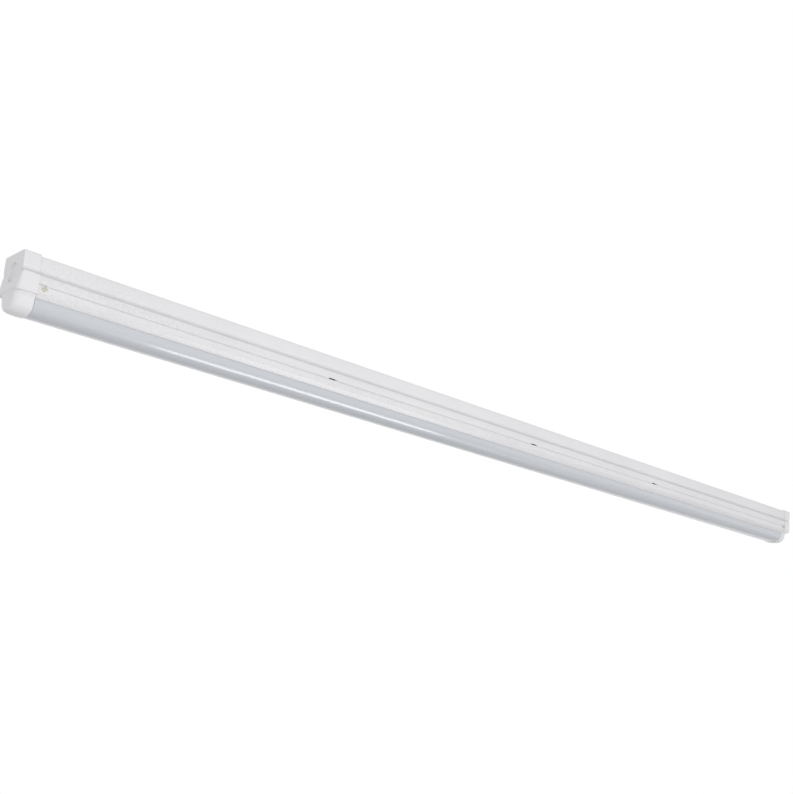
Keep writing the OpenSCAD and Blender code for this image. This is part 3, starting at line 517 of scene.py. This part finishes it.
def cap_head(t):
    """The upper part, inset by t."""
    p = cap_proud - t
    half = (
        arc(26.4, -2.4, 2.4 - t, 2.4 - t, 90, 12, 6)
        + [(28.7 + p, -10.0), (28.92 + p, -13.2)]
        + arc(27.0 + p, bulge_z, 2.0, 3.6, 0, -90, 8)
        + [(27.0 + p, -29.0)]
    )
    head = trace_section("cap_head", lip_out + t, across(half), closed=True)
    stretch(head, (cap_len - lip_out - t + (overrun if t else 0.0), 0.0, 0.0))
    return head


def plan(start, stop, half, r):
    """A cap's plan: square at the open side, rounded at the outer corners."""
    near_corner = arc(start + r, -half + r, r, r, 270, 180, 12)
    far_corner = arc(start + r, half - r, r, r, 180, 90, 12)
    return [(stop, half), (stop, -half)] + near_corner + far_corner


def cap_skirt(t):
    """The skirt and its lip, bridged through three level plans and inset by t."""
    half = skirt_half + cap_proud - t
    stop = cap_len + (overrun if t else 0.0)
    levels = [
        (skirt_top + cap_proud - t, lip_out + t, max(2.5 - t, 0.4)),
        (lip_z, t, lip_r - t),
        (nose_top + t / 2, lip_step + t, lip_r - t),
    ]
    loops = []
    for z, start, r in levels:
        loops.append(trace_plan("loop", z, plan(start, stop, half, r)))
    skirt = loops[0]
    make_active(skirt)
    for loop in loops[1:]:
        loop.select_set(True)
    bpy.ops.object.join()
    bpy.ops.object.mode_set(mode="EDIT")
    bpy.context.tool_settings.mesh_select_mode = (False, False, True)
    bpy.ops.mesh.select_all(action="SELECT")
    bpy.ops.mesh.delete(type="ONLY_FACE")
    bpy.context.tool_settings.mesh_select_mode = (False, True, False)
    bpy.ops.mesh.select_all(action="SELECT")
    bpy.ops.mesh.bridge_edge_loops()
    bpy.ops.mesh.select_all(action="SELECT")
    bpy.ops.mesh.fill_holes(sides=0)
    bpy.ops.mesh.normals_make_consistent(inside=False)
    bpy.ops.object.mode_set(mode="OBJECT")
    return skirt


def cap_nose(t):
    """The lower part: its full section, extruded towards the end face and drawn in as it goes."""
    top = nose_top + t / 2
    wide = (skirt_half + cap_proud - t) / skirt_half
    high = (top - nose_low - t) / (nose_top - diffuser_low)
    wall = [(nose_wall_y, nose_top + 2), (nose_wall_y, nose_top), tray_rim]
    section = wall + trough
    section = section + [(-y, z) for y, z in reversed(section[:-1])]
    placed = [(y * wide, top + (z - nose_top) * high) for y, z in section]
    open_x = cap_len + (overrun if t else -overrun) / 2
    nose = trace_section("cap_nose", open_x, placed, closed=True)
    start_x = cap_len - nose_turn
    reach = start_x - lip_step - t - overrun / 2
    small_y = end_wide / 2 / skirt_half
    small_z = (nose_top - end_low) / (nose_top - nose_low)
    stations = [(open_x - start_x, 1.0, 1.0)]
    last = 0.0
    for i in range(1, nose_parts + 1):
        a = math.radians(90.0 * i / nose_parts)
        turn_y = small_y + (1 - small_y) * math.cos(a)
        turn_z = small_z + (1 - small_z) * math.cos(a)
        stations.append((reach * (math.sin(a) - last), turn_y, turn_z))
        last = math.sin(a)
    make_active(nose)
    bpy.ops.object.mode_set(mode="EDIT")
    bpy.context.tool_settings.mesh_select_mode = (False, False, True)
    bpy.ops.mesh.select_all(action="SELECT")
    x, wide_now, high_now = open_x, 1.0, 1.0
    for step, sy, sz in stations:
        x -= step
        bpy.ops.mesh.extrude_region_move(TRANSFORM_OT_translate={"value": (-step * MM, 0.0, 0.0)})
        bpy.ops.transform.resize(
            value=(1.0, sy / wide_now, sz / high_now), center_override=(x * MM, 0.0, top * MM)
        )
        wide_now, high_now = sy, sz
    bpy.ops.mesh.select_all(action="SELECT")
    bpy.ops.mesh.normals_make_consistent(inside=False)
    bpy.ops.object.mode_set(mode="OBJECT")
    return nose


# %% Join the forms, hollow them and relax the edges
cap = cap_head(0.0)
combine(cap, cap_skirt(0.0), "UNION")
combine(cap, cap_nose(0.0), "UNION")
hollow = cap_head(cap_t)
for form in (cap_skirt, cap_nose):
    combine(hollow, form(cap_t), "UNION")
knockout_x, knockout_z, knockout_r, knockout_cut = lip_out + 2.2, -23.6, 12.5, 10.0
boss_r, boss_len = 14.0, 7.9
boss_at = (boss_len / 2, 0.0, knockout_z)
combine(hollow, round_solid("boss", boss_at, boss_r, boss_len, SIDEWAYS, 96), "DIFFERENCE")
combine(cap, hollow, "DIFFERENCE")
knockout_at = (knockout_x - knockout_cut / 2, 0.0, knockout_z)
knockout = round_solid("knockout", knockout_at, knockout_r, knockout_cut, SIDEWAYS, 96)
combine(cap, knockout, "DIFFERENCE")
mould_grid = 0.5
apply_modifier(cap, "REMESH", mode="VOXEL", voxel_size=mould_grid * MM, adaptivity=0.0)
apply_modifier(cap, "SMOOTH", factor=0.5, iterations=1)
apply_modifier(cap, "DECIMATE", ratio=0.4)
prong_from, prong_to, prong_y = 6.5, 38.0, 23.5
prong_half_t, prong_low, prong_high = 0.9, -19.6, 15.0
for side in (-1, 1):
    low = (prong_from, side * prong_y - prong_half_t, prong_low)
    high = (prong_to, side * prong_y + prong_half_t, prong_low + prong_high)
    prong = box_solid("prong", low, high)
    round_folds(prong, 0.3, 2)
    make_active(cap)
    prong.select_set(True)
    bpy.ops.object.join()
cap.name = "cap_moulding_left"
print("cap:", len(cap.data.polygons), "faces, size", [round(v, 4) for v in cap.dimensions])

# %% Stand a cap at each end


def own_copy(piece, name, turn=0.0, move=(0.0, 0.0, 0.0)):
    """A copy with its own mesh, turned about Z and moved, in millimetres."""
    copy = piece.copy()
    copy.data = piece.data.copy()
    copy.name = name
    bpy.context.scene.collection.objects.link(copy)
    copy.rotation_euler = (0.0, 0.0, turn)
    copy.location = [v * MM for v in move]
    settle(copy)
    return copy


end_x = 906.0
cap_right = own_copy(cap, "cap_moulding_right", math.pi, (end_x, 0.0, 0.0))
cap.location = (-end_x * MM, 0.0, 0.0)
settle(cap)
for piece in (cap, cap_right):
    smooth(piece, 50.0)

# %% [markdown]
# ## The turn fasteners
#
# Four captive fasteners hold the tray up. Each has a round plated head with a cross slot, a
# collar, a shank and a wing that catches in the hanger.

# %% Turn one fastener and copy it
head_y, head_r, head_t = 31.0, 3.1, 1.5
shank_r, collar_y, collar_r, collar_t = 2.0, 29.35, 2.6, 0.7
wing_y, wing_t, wing_half_x, wing_half_z = 22.4, 2.0, 4.5, 1.8


def make_fastener(name):
    """One fastener with its head towards +Y."""
    head = round_solid(name, (0.0, head_y + head_t / 2, 0.0), head_r, head_t, CROSSWAYS, 48)
    round_folds(head, 0.35, 3)
    for size in ((0.5, 2.6), (2.6, 0.5)):
        low = (-size[0], head_y + 0.7, -size[1])
        high = (size[0], head_y + 2.0, size[1])
        combine(head, box_solid("slot", low, high), "DIFFERENCE")
    shank_at = (0.0, (head_y + wing_y) / 2, 0.0)
    shank = round_solid("shank", shank_at, shank_r, head_y - wing_y, CROSSWAYS, 32)
    collar = round_solid("collar", (0.0, collar_y, 0.0), collar_r, collar_t, CROSSWAYS, 32)
    low = (-wing_half_x, wing_y, -wing_half_z)
    high = (wing_half_x, wing_y + wing_t, wing_half_z)
    wing = box_solid("wing", low, high)
    for part in (shank, collar, wing):
        round_folds(part, 0.15, 2)
        make_active(head)
        part.select_set(True)
        bpy.ops.object.join()
    return smooth(head)


pattern_piece = make_fastener("fastener_pattern")
fasteners = {}
for side_name, x in (("left", -fastener_x), ("right", fastener_x)):
    for face_name, turn in (("front", math.pi), ("back", 0.0)):
        place = f"{side_name}_{face_name}"
        at = (x, 0.0, fastener_z)
        fasteners["fastener_" + place] = own_copy(pattern_piece, "turn_" + place, turn, at)
bpy.data.objects.remove(pattern_piece)
print("fasteners:", sorted(fasteners))

# %% [markdown]
# ## The pieces inside
#
# The terminal block, the driver and the boards keep their CAD shapes. Moulded and pressed parts
# are never knife-sharp, so each gets a copy of its mesh whose loose triangles are merged and
# whose edges are bevelled by a hair, and that copy stands for the node.

# %% Soften the edges of a node's copy


def softened(node, name, width, segments=2, angle=35.0):
    """A copy of a node's mesh with its edges bevelled by a width in millimetres."""
    copy = nodes[node].copy()
    copy.data = nodes[node].data.copy()
    for key in list(copy.keys()):
        if key.startswith("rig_"):
            del copy[key]
    copy.parent = None
    copy.name = name
    bpy.context.scene.collection.objects.link(copy)
    make_active(copy)
    bpy.ops.object.mode_set(mode="EDIT")
    bpy.context.tool_settings.mesh_select_mode = (False, False, True)
    bpy.ops.mesh.select_all(action="SELECT")
    bpy.ops.mesh.remove_doubles(threshold=0.000002)
    bpy.ops.mesh.dissolve_limited(angle_limit=math.radians(1.0))
    bpy.ops.mesh.normals_make_consistent(inside=False)
    bpy.ops.object.mode_set(mode="OBJECT")
    round_folds(copy, width, segments, angle)
    return smooth(copy, 40.0)


soft_edges = {
    "hanger_left": 0.3, "hanger_right": 0.3, "terminal_block": 0.4, "terminal_clamps": 0.15,
    "button_live": 0.3, "button_earth": 0.3, "button_neutral": 0.3, "socket": 0.5, "plug": 0.5,
    "earth_nut": 0.25, "tray_earth_nut": 0.25, "entry_grommet": 0.3, "entry_blank": 0.3,
    "board_connector": 0.3, "driver_case": 0.3, "driver_lid": 0.25, "driver_transformer": 0.3,
    "driver_input_terminal": 0.3, "driver_output_terminal": 0.3, "wire_grommet": 0.3,
    "wire_clips": 0.15, "diffuser_clips": 0.1,
}
inside = {}
for node, width in soft_edges.items():
    inside[node] = softened(node, node + "_soft", width)
print("softened:", {n: len(o.data.polygons) for n, o in inside.items()})

# %% [markdown]
# ## Shared effects for the finishes
#
# Four effects come back in the finishes, so each is a node group with named sockets. The first
# varies a colour, a roughness and a fine height over the surface. The second is a film of dust
# on whatever faces up. The third finds worn edges. The fourth paints shade into the groove along
# the spine and the caps, a grey line where the recess lies in shadow. They put out colours,
# values and masks only, and each material keeps its own shader.

# %% Build the effect groups


def new_group(name, inputs, outputs):
    """An empty group with its named sockets, and the two nodes that stand for them."""
    group = bpy.data.node_groups.new(name, "ShaderNodeTree")
    for label, kind, value in inputs:
        made = group.interface.new_socket(name=label, in_out="INPUT", socket_type=kind)
        made.default_value = value
    for label, kind in outputs:
        group.interface.new_socket(name=label, in_out="OUTPUT", socket_type=kind)
    start = group.nodes.new("NodeGroupInput")
    end = group.nodes.new("NodeGroupOutput")
    return group, start, end


FLOAT, COLOR = "NodeSocketFloat", "NodeSocketColor"


def feed_socket(group, source, target):
    """Sets a socket to a plain value, or links it to another socket."""
    if isinstance(source, (int, float, tuple)):
        target.default_value = source
    else:
        group.links.new(source, target)


def mix_colour(group, factor, a, b):
    """A colour between two others, by a factor."""
    mix = group.nodes.new("ShaderNodeMix")
    mix.data_type = "RGBA"
    group.links.new(factor, mix.inputs["Factor"])
    feed_socket(group, a, mix.inputs[6])
    feed_socket(group, b, mix.inputs[7])
    return mix.outputs[2]


def spread(group, value, low, high, to_low, to_high):
    """A value from one range in another one."""
    fit = group.nodes.new("ShaderNodeMapRange")
    group.links.new(value, fit.inputs["Value"])
    ends = {"From Min": low, "From Max": high, "To Min": to_low, "To Max": to_high}
    for name, source in ends.items():
        feed_socket(group, source, fit.inputs[name])
    return fit.outputs["Result"]


def sum_up(group, kind, a, b):
    """One step of arithmetic on two values."""
    node = group.nodes.new("ShaderNodeMath")
    node.operation = kind
    feed_socket(group, a, node.inputs[0])
    feed_socket(group, b, node.inputs[1])
    return node.outputs[0]


def noise_over(group, place, scale, detail):
    """Noise laid over a place, from 0 to 1."""
    noise = group.nodes.new("ShaderNodeTexNoise")
    noise.inputs["Detail"].default_value = detail
    group.links.new(place, noise.inputs["Vector"])
    feed_socket(group, scale, noise.inputs["Scale"])
    return noise.outputs[0]


def grain_group():
    """Two colours in patches, with a fine grain for the roughness and the bump."""
    group, start, end = new_group(
        "surface_grain",
        [("Colour", COLOR, (0.8, 0.8, 0.8, 1)), ("Second", COLOR, (0.7, 0.7, 0.7, 1)),
         ("Patches", FLOAT, 12.0), ("Grain", FLOAT, 900.0), ("Along", FLOAT, 1.0),
         ("Rough Low", FLOAT, 0.3), ("Rough High", FLOAT, 0.45)],
        [("Colour", COLOR), ("Roughness", FLOAT), ("Height", FLOAT)],
    )
    place = group.nodes.new("ShaderNodeTexCoord")
    scale = group.nodes.new("ShaderNodeCombineXYZ")
    group.links.new(start.outputs["Along"], scale.inputs["X"])
    scale.inputs["Y"].default_value = 1.0
    scale.inputs["Z"].default_value = 1.0
    moved = group.nodes.new("ShaderNodeVectorMath")
    moved.operation = "MULTIPLY"
    group.links.new(place.outputs["Object"], moved.inputs[0])
    group.links.new(scale.outputs[0], moved.inputs[1])
    patches = noise_over(group, moved.outputs[0], start.outputs["Patches"], 3.0)
    fine = noise_over(group, moved.outputs[0], start.outputs["Grain"], 2.0)
    share = spread(group, patches, 0.35, 0.65, 0.0, 1.0)
    colour = mix_colour(group, share, start.outputs["Colour"], start.outputs["Second"])
    smoothest, roughest = start.outputs["Rough Low"], start.outputs["Rough High"]
    rough = spread(group, fine, 0.3, 0.7, smoothest, roughest)
    group.links.new(colour, end.inputs["Colour"])
    group.links.new(rough, end.inputs["Roughness"])
    group.links.new(fine, end.inputs["Height"])
    return group


def dust_group():
    """A mask of dust on whatever faces up, in clumps."""
    group, start, end = new_group(
        "dust_film", [("Amount", FLOAT, 0.2), ("Clumps", FLOAT, 60.0)], [("Mask", FLOAT)]
    )
    place = group.nodes.new("ShaderNodeTexCoord")
    facing = group.nodes.new("ShaderNodeSeparateXYZ")
    group.links.new(place.outputs["Normal"], facing.inputs[0])
    up = spread(group, facing.outputs["Z"], 0.35, 0.95, 0.0, 1.0)
    clumps = noise_over(group, place.outputs["Object"], start.outputs["Clumps"], 6.0)
    patch = spread(group, clumps, 0.35, 0.75, 0.15, 1.0)
    film = sum_up(group, "MULTIPLY", up, patch)
    group.links.new(sum_up(group, "MULTIPLY", film, start.outputs["Amount"]), end.inputs["Mask"])
    return group


def wear_group():
    """A mask of worn paint on the sharp edges, broken up by noise."""
    group, start, end = new_group(
        "edge_wear", [("Amount", FLOAT, 0.5), ("Scatter", FLOAT, 400.0)], [("Mask", FLOAT)]
    )
    shape = group.nodes.new("ShaderNodeNewGeometry")
    place = group.nodes.new("ShaderNodeTexCoord")
    scatter = noise_over(group, place.outputs["Object"], start.outputs["Scatter"], 4.0)
    sharp = spread(group, shape.outputs["Pointiness"], 0.52, 0.62, 0.0, 1.0)
    broken = spread(group, scatter, 0.4, 0.65, 0.0, 1.0)
    rubbed = sum_up(group, "MULTIPLY", sharp, broken)
    group.links.new(sum_up(group, "MULTIPLY", rubbed, start.outputs["Amount"]), end.inputs["Mask"])
    return group


def make_groove_shade_group():
    """A mask of painted shade in the groove band between two heights, on the sides only."""
    group, start, end = new_group(
        "groove_painted_shade", [("Amount", FLOAT, 0.5), ("Low", FLOAT, -0.0262), ("High", FLOAT, -0.0214)],
        [("Mask", FLOAT)],
    )
    place = group.nodes.new("ShaderNodeTexCoord")
    parts = group.nodes.new("ShaderNodeSeparateXYZ")
    group.links.new(place.outputs["Object"], parts.inputs[0])
    above = sum_up(group, "SUBTRACT", parts.outputs["Z"], start.outputs["Low"])
    below = sum_up(group, "SUBTRACT", start.outputs["High"], parts.outputs["Z"])
    aside = sum_up(group, "ABSOLUTE", parts.outputs["Y"], 0.0)
    # Noise breaks the painted shade up along the groove.
    shade_noise = noise_over(group, place.outputs["Object"], 40.0, 4.0)
    mask = start.outputs["Amount"]
    for value, low, high, to_low in (
        (above, 0.0, 0.0007, 0.0), (below, 0.0, 0.0012, 0.0),
        (aside, 0.0245, 0.0255, 0.0), (shade_noise, 0.3, 0.7, 0.75),
    ):
        mask = sum_up(group, "MULTIPLY", mask, spread(group, value, low, high, to_low, 1.0))
    group.links.new(mask, end.inputs["Mask"])
    return group


grain, dust, wear, groove = grain_group(), dust_group(), wear_group(), make_groove_shade_group()
print("groups:", [g.name for g in (grain, dust, wear, groove)])

# %% [markdown]
# ## The finishes
#
# A finish is two close colours that drift into each other, a range of roughness, a fine bump,
# some dust on top and some wear on the edges. The function below puts the groups together, and
# each finish gives its own values: powder coat is dimpled like orange peel, opal plastic is
# smooth, and plated parts are metallic.

# %% Put a finish together
DUST = (0.55, 0.53, 0.49, 1.0)
# A grey painted into the groove as shade, where the recess lies in shadow.
GROOVE_SHADE_GREY = (0.36, 0.355, 0.36, 1.0)


def rgb(r, g, b):
    """A colour given as it looks on a screen, from 0 to 255, as the linear one a shader needs."""

    def linear(v):
        v = v / 255.0
        return v / 12.92 if v <= 0.04045 else ((v + 0.055) / 1.055) ** 2.4

    return (linear(r), linear(g), linear(b), 1.0)


def add_effect(tree, effect, amounts):
    """Puts an effect group into a material and sets its sockets."""
    node = tree.nodes.new("ShaderNodeGroup")
    node.node_tree = effect
    for socket, amount in amounts.items():
        node.inputs[socket].default_value = amount
    return node


def finish(
    name, colour, second, rough, patches=12.0, fine=900.0, along=1.0, bump=0.1, depth=0.00002,
    dusty=0.15, worn=0.0, worn_colour=(0.6, 0.6, 0.6, 1.0), metallic=0.0, coat=0.0, painted_groove_shade=0.0,
):
    """A material: two close colours, a roughness range, a bump, and its share of each effect."""
    material = bpy.data.materials.new(name)
    material.use_nodes = True
    tree = material.node_tree
    shader = tree.nodes["Principled BSDF"]
    shader.inputs["Metallic"].default_value = metallic
    shader.inputs["Coat Weight"].default_value = coat
    shader.inputs["Coat Roughness"].default_value = 0.09
    skin = add_effect(tree, grain, {
        "Colour": colour, "Second": second, "Patches": patches, "Grain": fine, "Along": along,
        "Rough Low": rough[0], "Rough High": rough[1],
    })
    result = skin.outputs["Colour"]
    # The groove layer is painted shade: it darkens the groove band where it lies in shadow.
    layers = ((wear, worn, worn_colour), (groove, painted_groove_shade, GROOVE_SHADE_GREY), (dust, dusty, DUST))
    for effect, amount, tint in layers:
        if amount:
            mask = add_effect(tree, effect, {"Amount": amount}).outputs["Mask"]
            result = mix_colour(tree, mask, result, tint)
    tree.links.new(result, shader.inputs["Base Color"])
    tree.links.new(skin.outputs["Roughness"], shader.inputs["Roughness"])
    raised = tree.nodes.new("ShaderNodeBump")
    raised.inputs["Strength"].default_value = bump
    raised.inputs["Distance"].default_value = depth
    tree.links.new(skin.outputs["Height"], raised.inputs["Height"])
    tree.links.new(raised.outputs["Normal"], shader.inputs["Normal"])
    return material


# %% The finishes that show
# Both whites carry painted shade in the groove band along the spine and the caps.
powder_white = finish(
    "powder_white", rgb(234, 233, 234), rgb(230, 229, 231), (0.36, 0.46), 6.0, 1400.0, bump=0.15,
    depth=0.00003, dusty=0.25, worn=0.25, worn_colour=rgb(190, 190, 188), painted_groove_shade=0.4,
)
moulded_white = finish(
    "moulded_white", rgb(234, 233, 234), rgb(230, 229, 231), (0.34, 0.44), 10.0, 2200.0, bump=0.2,
    depth=0.00002, dusty=0.2, worn=0.1, worn_colour=rgb(205, 205, 203), painted_groove_shade=0.4,
)
opal = finish(
    "opal_plastic", rgb(204, 207, 211), rgb(199, 203, 208), (0.34, 0.4), 5.0, 1800.0, along=0.2,
    coat=0.8, bump=0.05, depth=0.00001, dusty=0.1,
)
zinc = finish(
    "zinc_plated", rgb(226, 223, 205), rgb(212, 210, 196), (0.28, 0.42), 60.0, 1500.0, bump=0.2,
    dusty=0.1, worn=0.4, worn_colour=rgb(225, 222, 210), metallic=0.85,
)
print("finishes:", [m.name for m in (powder_white, moulded_white, opal, zinc)])

# %% The finishes inside
brass = finish(
    "turned_brass", rgb(205, 172, 105), rgb(186, 150, 88), (0.22, 0.38), 90.0, 1600.0, bump=0.15,
    worn=0.3, worn_colour=rgb(230, 205, 150), metallic=0.95,
)
pale_plastic = finish(
    "terminal_plastic", rgb(222, 222, 214), rgb(214, 214, 205), (0.42, 0.55), 40.0, 1500.0,
    bump=0.25,
)
orange_plastic = finish(
    "button_plastic", rgb(226, 122, 48), rgb(214, 108, 40), (0.35, 0.48), 60.0, 1500.0, bump=0.2,
)
brown_wire = finish(
    "brown_insulation", rgb(104, 68, 44), rgb(90, 57, 36), (0.4, 0.5), 80.0, 1800.0, bump=0.2,
)
green_wire = finish(
    "earth_insulation", rgb(84, 138, 58), rgb(150, 160, 50), (0.4, 0.5), 70.0, 1800.0, 0.5,
    bump=0.2,
)
red_wire = finish(
    "red_insulation", rgb(176, 44, 38), rgb(158, 36, 32), (0.38, 0.48), 80.0, 1800.0, bump=0.2,
)
rubber = finish(
    "dark_rubber", rgb(56, 56, 58), rgb(46, 46, 48), (0.55, 0.7), 80.0, 1300.0, bump=0.4,
    dusty=0.35,
)
white_board = finish(
    "white_board", rgb(232, 232, 226), rgb(224, 224, 216), (0.3, 0.42), 30.0, 1500.0, bump=0.15,
)
green_board = finish(
    "green_board", rgb(38, 92, 58), rgb(30, 78, 48), (0.3, 0.42), 60.0, 1200.0, bump=0.2,
)
phosphor = finish(
    "led_phosphor", rgb(238, 214, 120), rgb(228, 200, 104), (0.25, 0.35), 200.0, 2000.0, bump=0.1,
    coat=0.3,
)
driver_steel = finish(
    "driver_sheet", rgb(206, 208, 208), rgb(194, 197, 198), (0.3, 0.42), 30.0, 1300.0, 0.3,
    bump=0.25, worn=0.4, worn_colour=rgb(225, 225, 225), metallic=0.5,
)
winding = finish(
    "taped_winding", rgb(214, 186, 92), rgb(196, 164, 74), (0.35, 0.5), 60.0, 900.0, 8.0,
    bump=0.4,
)
sleeve = finish(
    "capacitor_sleeve", rgb(44, 48, 64), rgb(36, 40, 54), (0.3, 0.4), 90.0, 1400.0, bump=0.15,
)
aluminium = finish(
    "rivet_aluminium", rgb(204, 205, 207), rgb(188, 190, 193), (0.25, 0.38), 120.0, 1500.0,
    bump=0.15, metallic=0.9,
)

# %% [markdown]
# ## Dress the pieces
#
# Every new piece rides on the body of the node it stands for. Nodes that keep their own mesh
# only get a better material.

# %% Give each node its finish
dressing = {
    powder_white: ("white_sheet", ["spine", "gear_tray"]),
    moulded_white: ("white_moulding", ["end_cap_left", "end_cap_right", "entry_blank"]),
    opal: ("opal_trough", ["diffuser"]),
    zinc: ("zinc", ["hanger_left", "hanger_right", "fastener_left_front", "fastener_left_back",
                    "fastener_right_front", "fastener_right_back", "driver_screws",
                    "diffuser_clips", "wire_clips"]),
    brass: ("brass", ["terminal_clamps", "socket_contacts", "plug_pins", "earth_stud", "earth_nut",
                      "tray_earth_stud", "tray_earth_nut"]),
    pale_plastic: ("terminal_plastic", ["terminal_block", "socket", "plug", "board_connector",
                                        "driver_input_terminal", "driver_output_terminal"]),
    orange_plastic: ("button_plastic", ["button_live", "button_earth", "button_neutral"]),
    brown_wire: ("wire_brown", ["socket_wires", "mains_wires"]),
    green_wire: ("wire_earth", ["earth_lead", "tray_earth_lead"]),
    red_wire: ("wire_red", ["led_wires"]),
    rubber: ("dark_rubber", ["entry_grommet", "wire_grommet"]),
    white_board: ("white_board", ["led_board_left", "led_board_middle", "led_board_right"]),
    phosphor: ("led", ["led_chips"]),
    driver_steel: ("driver_sheet", ["driver_case", "driver_lid"]),
    green_board: ("circuit_board", ["driver_board"]),
    winding: ("winding", ["driver_transformer"]),
    sleeve: ("capacitor", ["driver_capacitors"]),
    aluminium: ("rivet_alu", ["board_rivets", "clip_rivets", "board_links"]),
}
new_pieces = {
    "spine": spine, "gear_tray": tray, "diffuser": diffuser,
    "end_cap_left": cap, "end_cap_right": cap_right, **fasteners, **inside,
}
body_of_node = {n: b for b, group in frame["record"]["behaviour"]["bodies"].items() for n in group}
dressed = set()
for material, (slot, names) in dressing.items():
    for name in names:
        dressed.add(name)
        piece = new_pieces.get(name)
        if piece is None:
            for holder in nodes[name].material_slots:
                holder.material = material
            continue
        piece.data.materials.clear()
        piece.data.materials.append(material)
        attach(piece, body_of_node[name])
        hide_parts(name)
print("not dressed:", sorted(set(nodes) - dressed))
